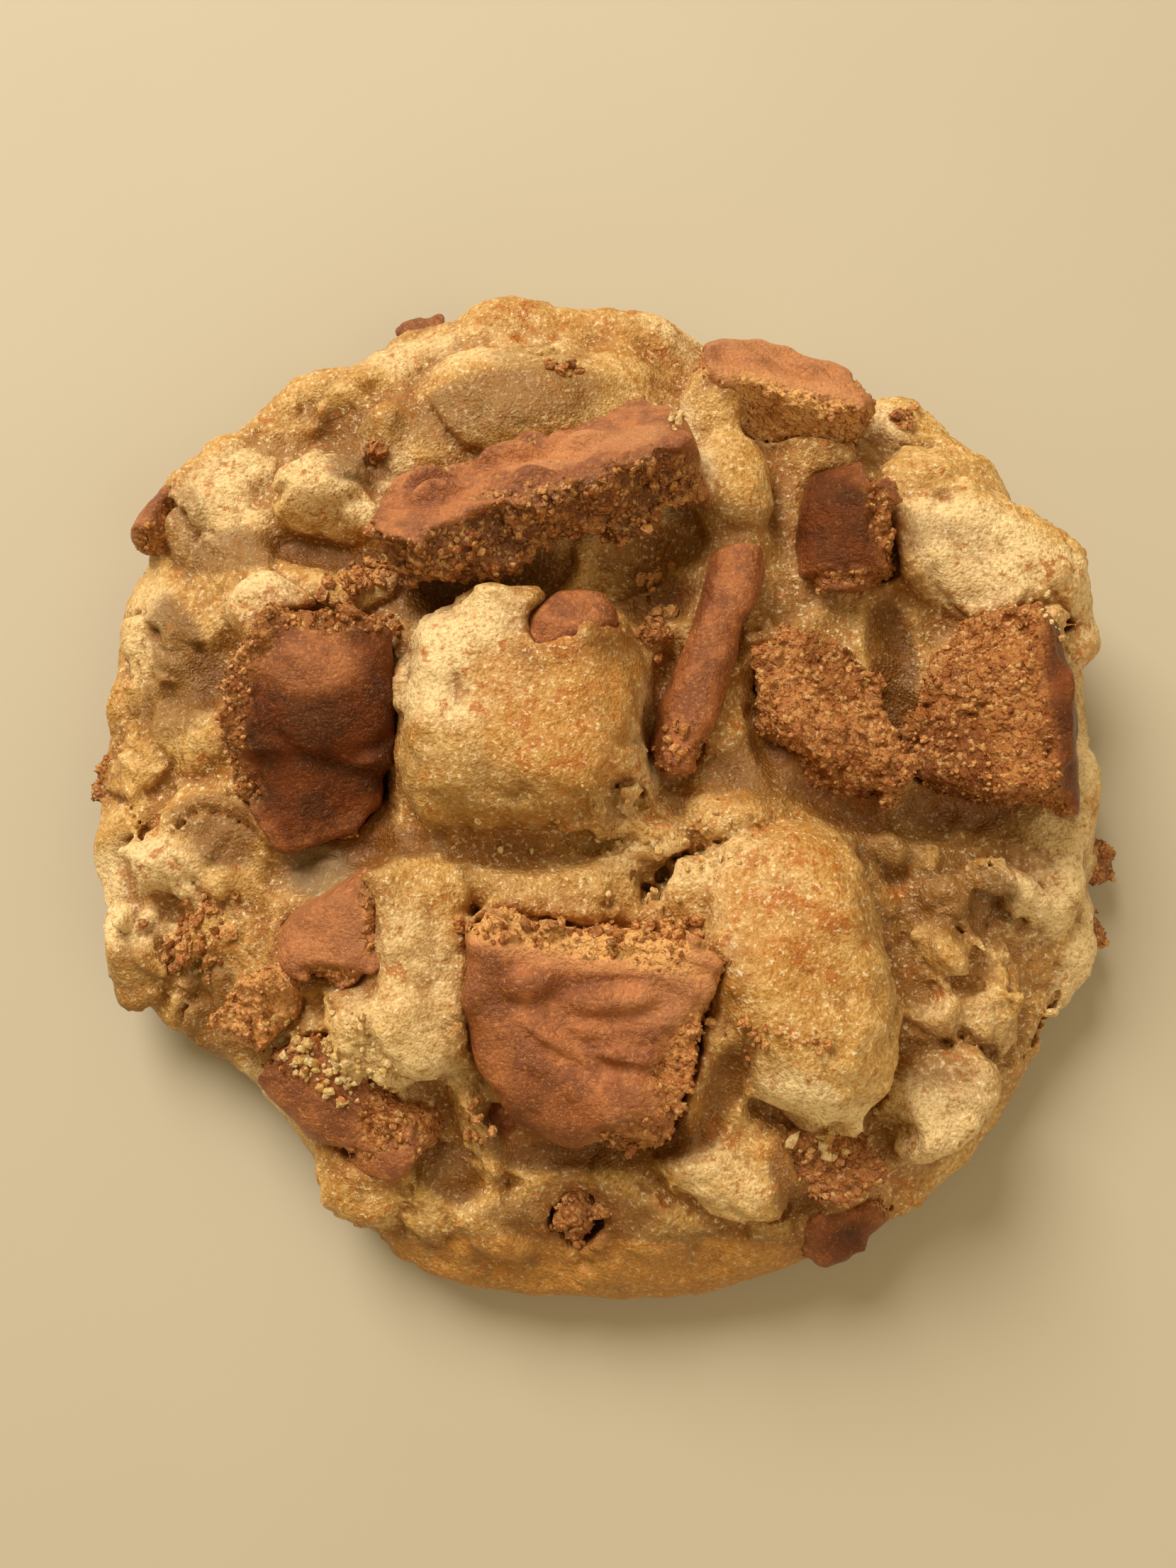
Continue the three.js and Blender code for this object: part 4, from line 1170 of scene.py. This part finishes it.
def skin_colour(s, tone, light, patch, fine):
    """The skin of spiced biscuit, from golden to nearly black, with a fine grain of both, and paler patches
    of painted light and painted sheen.
    """
    plain = s.mix(s.scaled(patch, 0.36, 0.62), rgb(192, 113, 57), rgb(141, 72, 28))
    dark = s.mix(s.scaled(patch, 0.35, 0.65), rgb(106, 42, 4), rgb(64, 22, 1))
    return s.painted(plain, (
        (tone, dark),
        # paler skin where tone is below 0: paler pieces, and painted light and painted sheen
        (light, rgb(216, 142, 84)),
        (s.scaled(fine, 0.46, 0.62, 0, 0.25), rgb(110, 46, 6)),
        (s.scaled(fine, 0.46, 0.34, 0, s.scaled(tone, 0, 1, 0.55, 0.2)), rgb(224, 150, 80)),
    ))


def crumb_colour(s, tone, light, coarse, coarse_tint, small_tint):
    """The crumb of spiced biscuit: grains of several tints, painted shade between them, paler where the
    piece is paler and where painted light is laid on, with pale sugar.
    """
    # painted shade between the grains, deepest in the crumb's crevices
    gap = s.plus(s.stored("depth"), coarse, -0.3)
    return s.painted(rgb(176, 98, 38), (
        (coarse_tint, rgb(216, 144, 72)),
        (s.times(tone, 0.7), rgb(112, 52, 20)),
        # paler crumb where tone is below 0: paler pieces, and painted light
        (light, rgb(244, 178, 100)),
        (s.scaled(gap, 0, 1.0, 0, 0.75), rgb(92, 40, 8)),
        (s.scaled(small_tint, 0.8, 1, 0, 0.7), rgb(238, 186, 118)),
    ))


def biscuit_material():
    """Spiced biscuit: satin brown skin with a leathery grain, and a coarse sugary crumb where it broke."""
    s = Shader("baked_biscuit")
    broken = s.stored("broken")
    tone = s.stored("tone")
    # paler where tone is below 0: paler pieces, and painted light and painted sheen from the light ovals
    light = s.scaled(tone, 0, -0.6)
    patch = s.noise(3.4, 5, 0.6)
    fine = s.noise(0.35, 4, 0.7)
    coarse, coarse_tint = s.pebbles(0.7)
    small, small_tint = s.pebbles(0.35)
    skin = skin_colour(s, tone, light, patch, fine)
    s.set(Base_Color=s.mix(broken, skin, crumb_colour(s, tone, light, coarse, coarse_tint, small_tint)))
    s.set(Roughness=s.scaled(s.plus(broken, fine), 0.3, 1.5, 0.28, 0.42))
    s.set(Specular_IOR_Level=s.scaled(tone, 0, 1, 0.85, 0.5))
    s.set(Specular_Tint=s.mix(s.scaled(tone, 0, 0.7), (1, 0.85, 0.66, 1), (1, 0.7, 0.42, 1)))
    grain = s.times(s.plus(coarse, small, 0.6), broken)
    s.bump(((patch, 0.06), (s.noise(0.8, 3, 0.6), 0.32), (fine, 0.26), (grain, 0.2)))
    return s.material


def floor_material():
    """Matt pale board, a little uneven in tone."""
    s = Shader("pale_floor")
    s.set(Base_Color=s.mix(s.noise(60, 3), rgb(190, 176, 148), rgb(196, 182, 155)), Roughness=0.8)
    return s.material


# ---- Stage ----


def add_floor():
    bpy.ops.mesh.primitive_plane_add(size=FLOOR_SIZE, location=(0, 0, -FLOOR_GAP * MM))
    floor = bpy.context.object
    floor.name = "floor"
    floor.data.materials.append(floor_material())


def add_light(name, place, size, power, colour):
    data = bpy.data.lights.new(name, "AREA")
    data.shape = "DISK"
    data.size = size
    data.energy = power
    data.color = colour
    lamp = bpy.data.objects.new(name, data)
    bpy.context.scene.collection.objects.link(lamp)
    lamp.location = place
    lamp.rotation_euler = (Vector(LIGHT_AIM) - lamp.location).to_track_quat("-Z", "Y").to_euler()


def add_world():
    world = bpy.data.worlds.new("soft_room")
    world.use_nodes = True
    sky = world.node_tree.nodes["Background"]
    sky.inputs["Color"].default_value = ROOM_COLOUR
    sky.inputs["Strength"].default_value = ROOM_STRENGTH
    bpy.context.scene.world = world
    bpy.context.scene.view_settings.view_transform = "Standard"


def add_camera():
    """A camera that looks down on the cookie from in front of it, a little off the vertical."""
    low, high = cad_bounds
    target = (low + high) / 2 + CAMERA_AIM * MM
    elevation = math.radians(CAMERA_ELEVATION)
    data = bpy.data.cameras.new("camera")
    data.sensor_width = SENSOR_SIZE
    data.lens = CAMERA_LENS
    data.clip_start = CAMERA_NEAR * MM
    camera = bpy.data.objects.new("camera", data)
    bpy.context.scene.collection.objects.link(camera)
    camera.location = target + CAMERA_DISTANCE * MM * Vector((0, -math.cos(elevation), math.sin(elevation)))
    camera.rotation_euler = (math.pi / 2 - elevation, 0, 0)
    bpy.context.scene.camera = camera


def add_stage():
    add_floor()
    for name, light in LIGHTS.items():
        add_light(name, *light)
    add_world()
    add_camera()


# ---- The cookie ----


def adopt(made, node, material):
    """Gives a piece its material, puts it under the root body, and hides the CAD node that it stands in for.
    """
    made.data.materials.append(material)
    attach(made, "root")
    if node:
        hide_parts(node)


def build_cookie():
    """The pieces of biscuit, the dough round them, and the crumbs on both."""
    biscuit = biscuit_material()
    baked = dough_material()
    pieces = []
    slabs = []
    for number, (name, look) in enumerate(BISCUITS.items()):
        name = "biscuit_" + name
        piece, slab = build_biscuit(name, look, FIRST_PIECE_SEED + NEXT_PIECE_SEED * number)
        pieces.append(piece)
        slabs.append(slab)
        adopt(piece, name, biscuit)
    dough = build_dough(slabs)
    adopt(dough, "dough", baked)
    surface = Surface([dough, *pieces])
    rng = np.random.default_rng(SEED + GRAIN_SEED)
    of_biscuit = [grains_on(piece, "broken", rng, share=GRAIN_SHARE) for piece in pieces]
    of_dough = [grains_on(dough, "torn", rng, most=DOUGH_GRAINS)]
    kinds = (("biscuit", BISCUIT_CRUMBS, of_biscuit, biscuit), ("dough", DOUGH_CRUMBS, of_dough, baked))
    for kind, table, loose, material in kinds:
        spread_seed, crumb_seed = CRUMB_SEEDS[kind]
        lots = [scattered(surface, table, spread_seed), *loose]
        adopt(build_crumbs(kind + "_crumbs", lots, crumb_seed), None, material)


build_cookie()
add_stage()
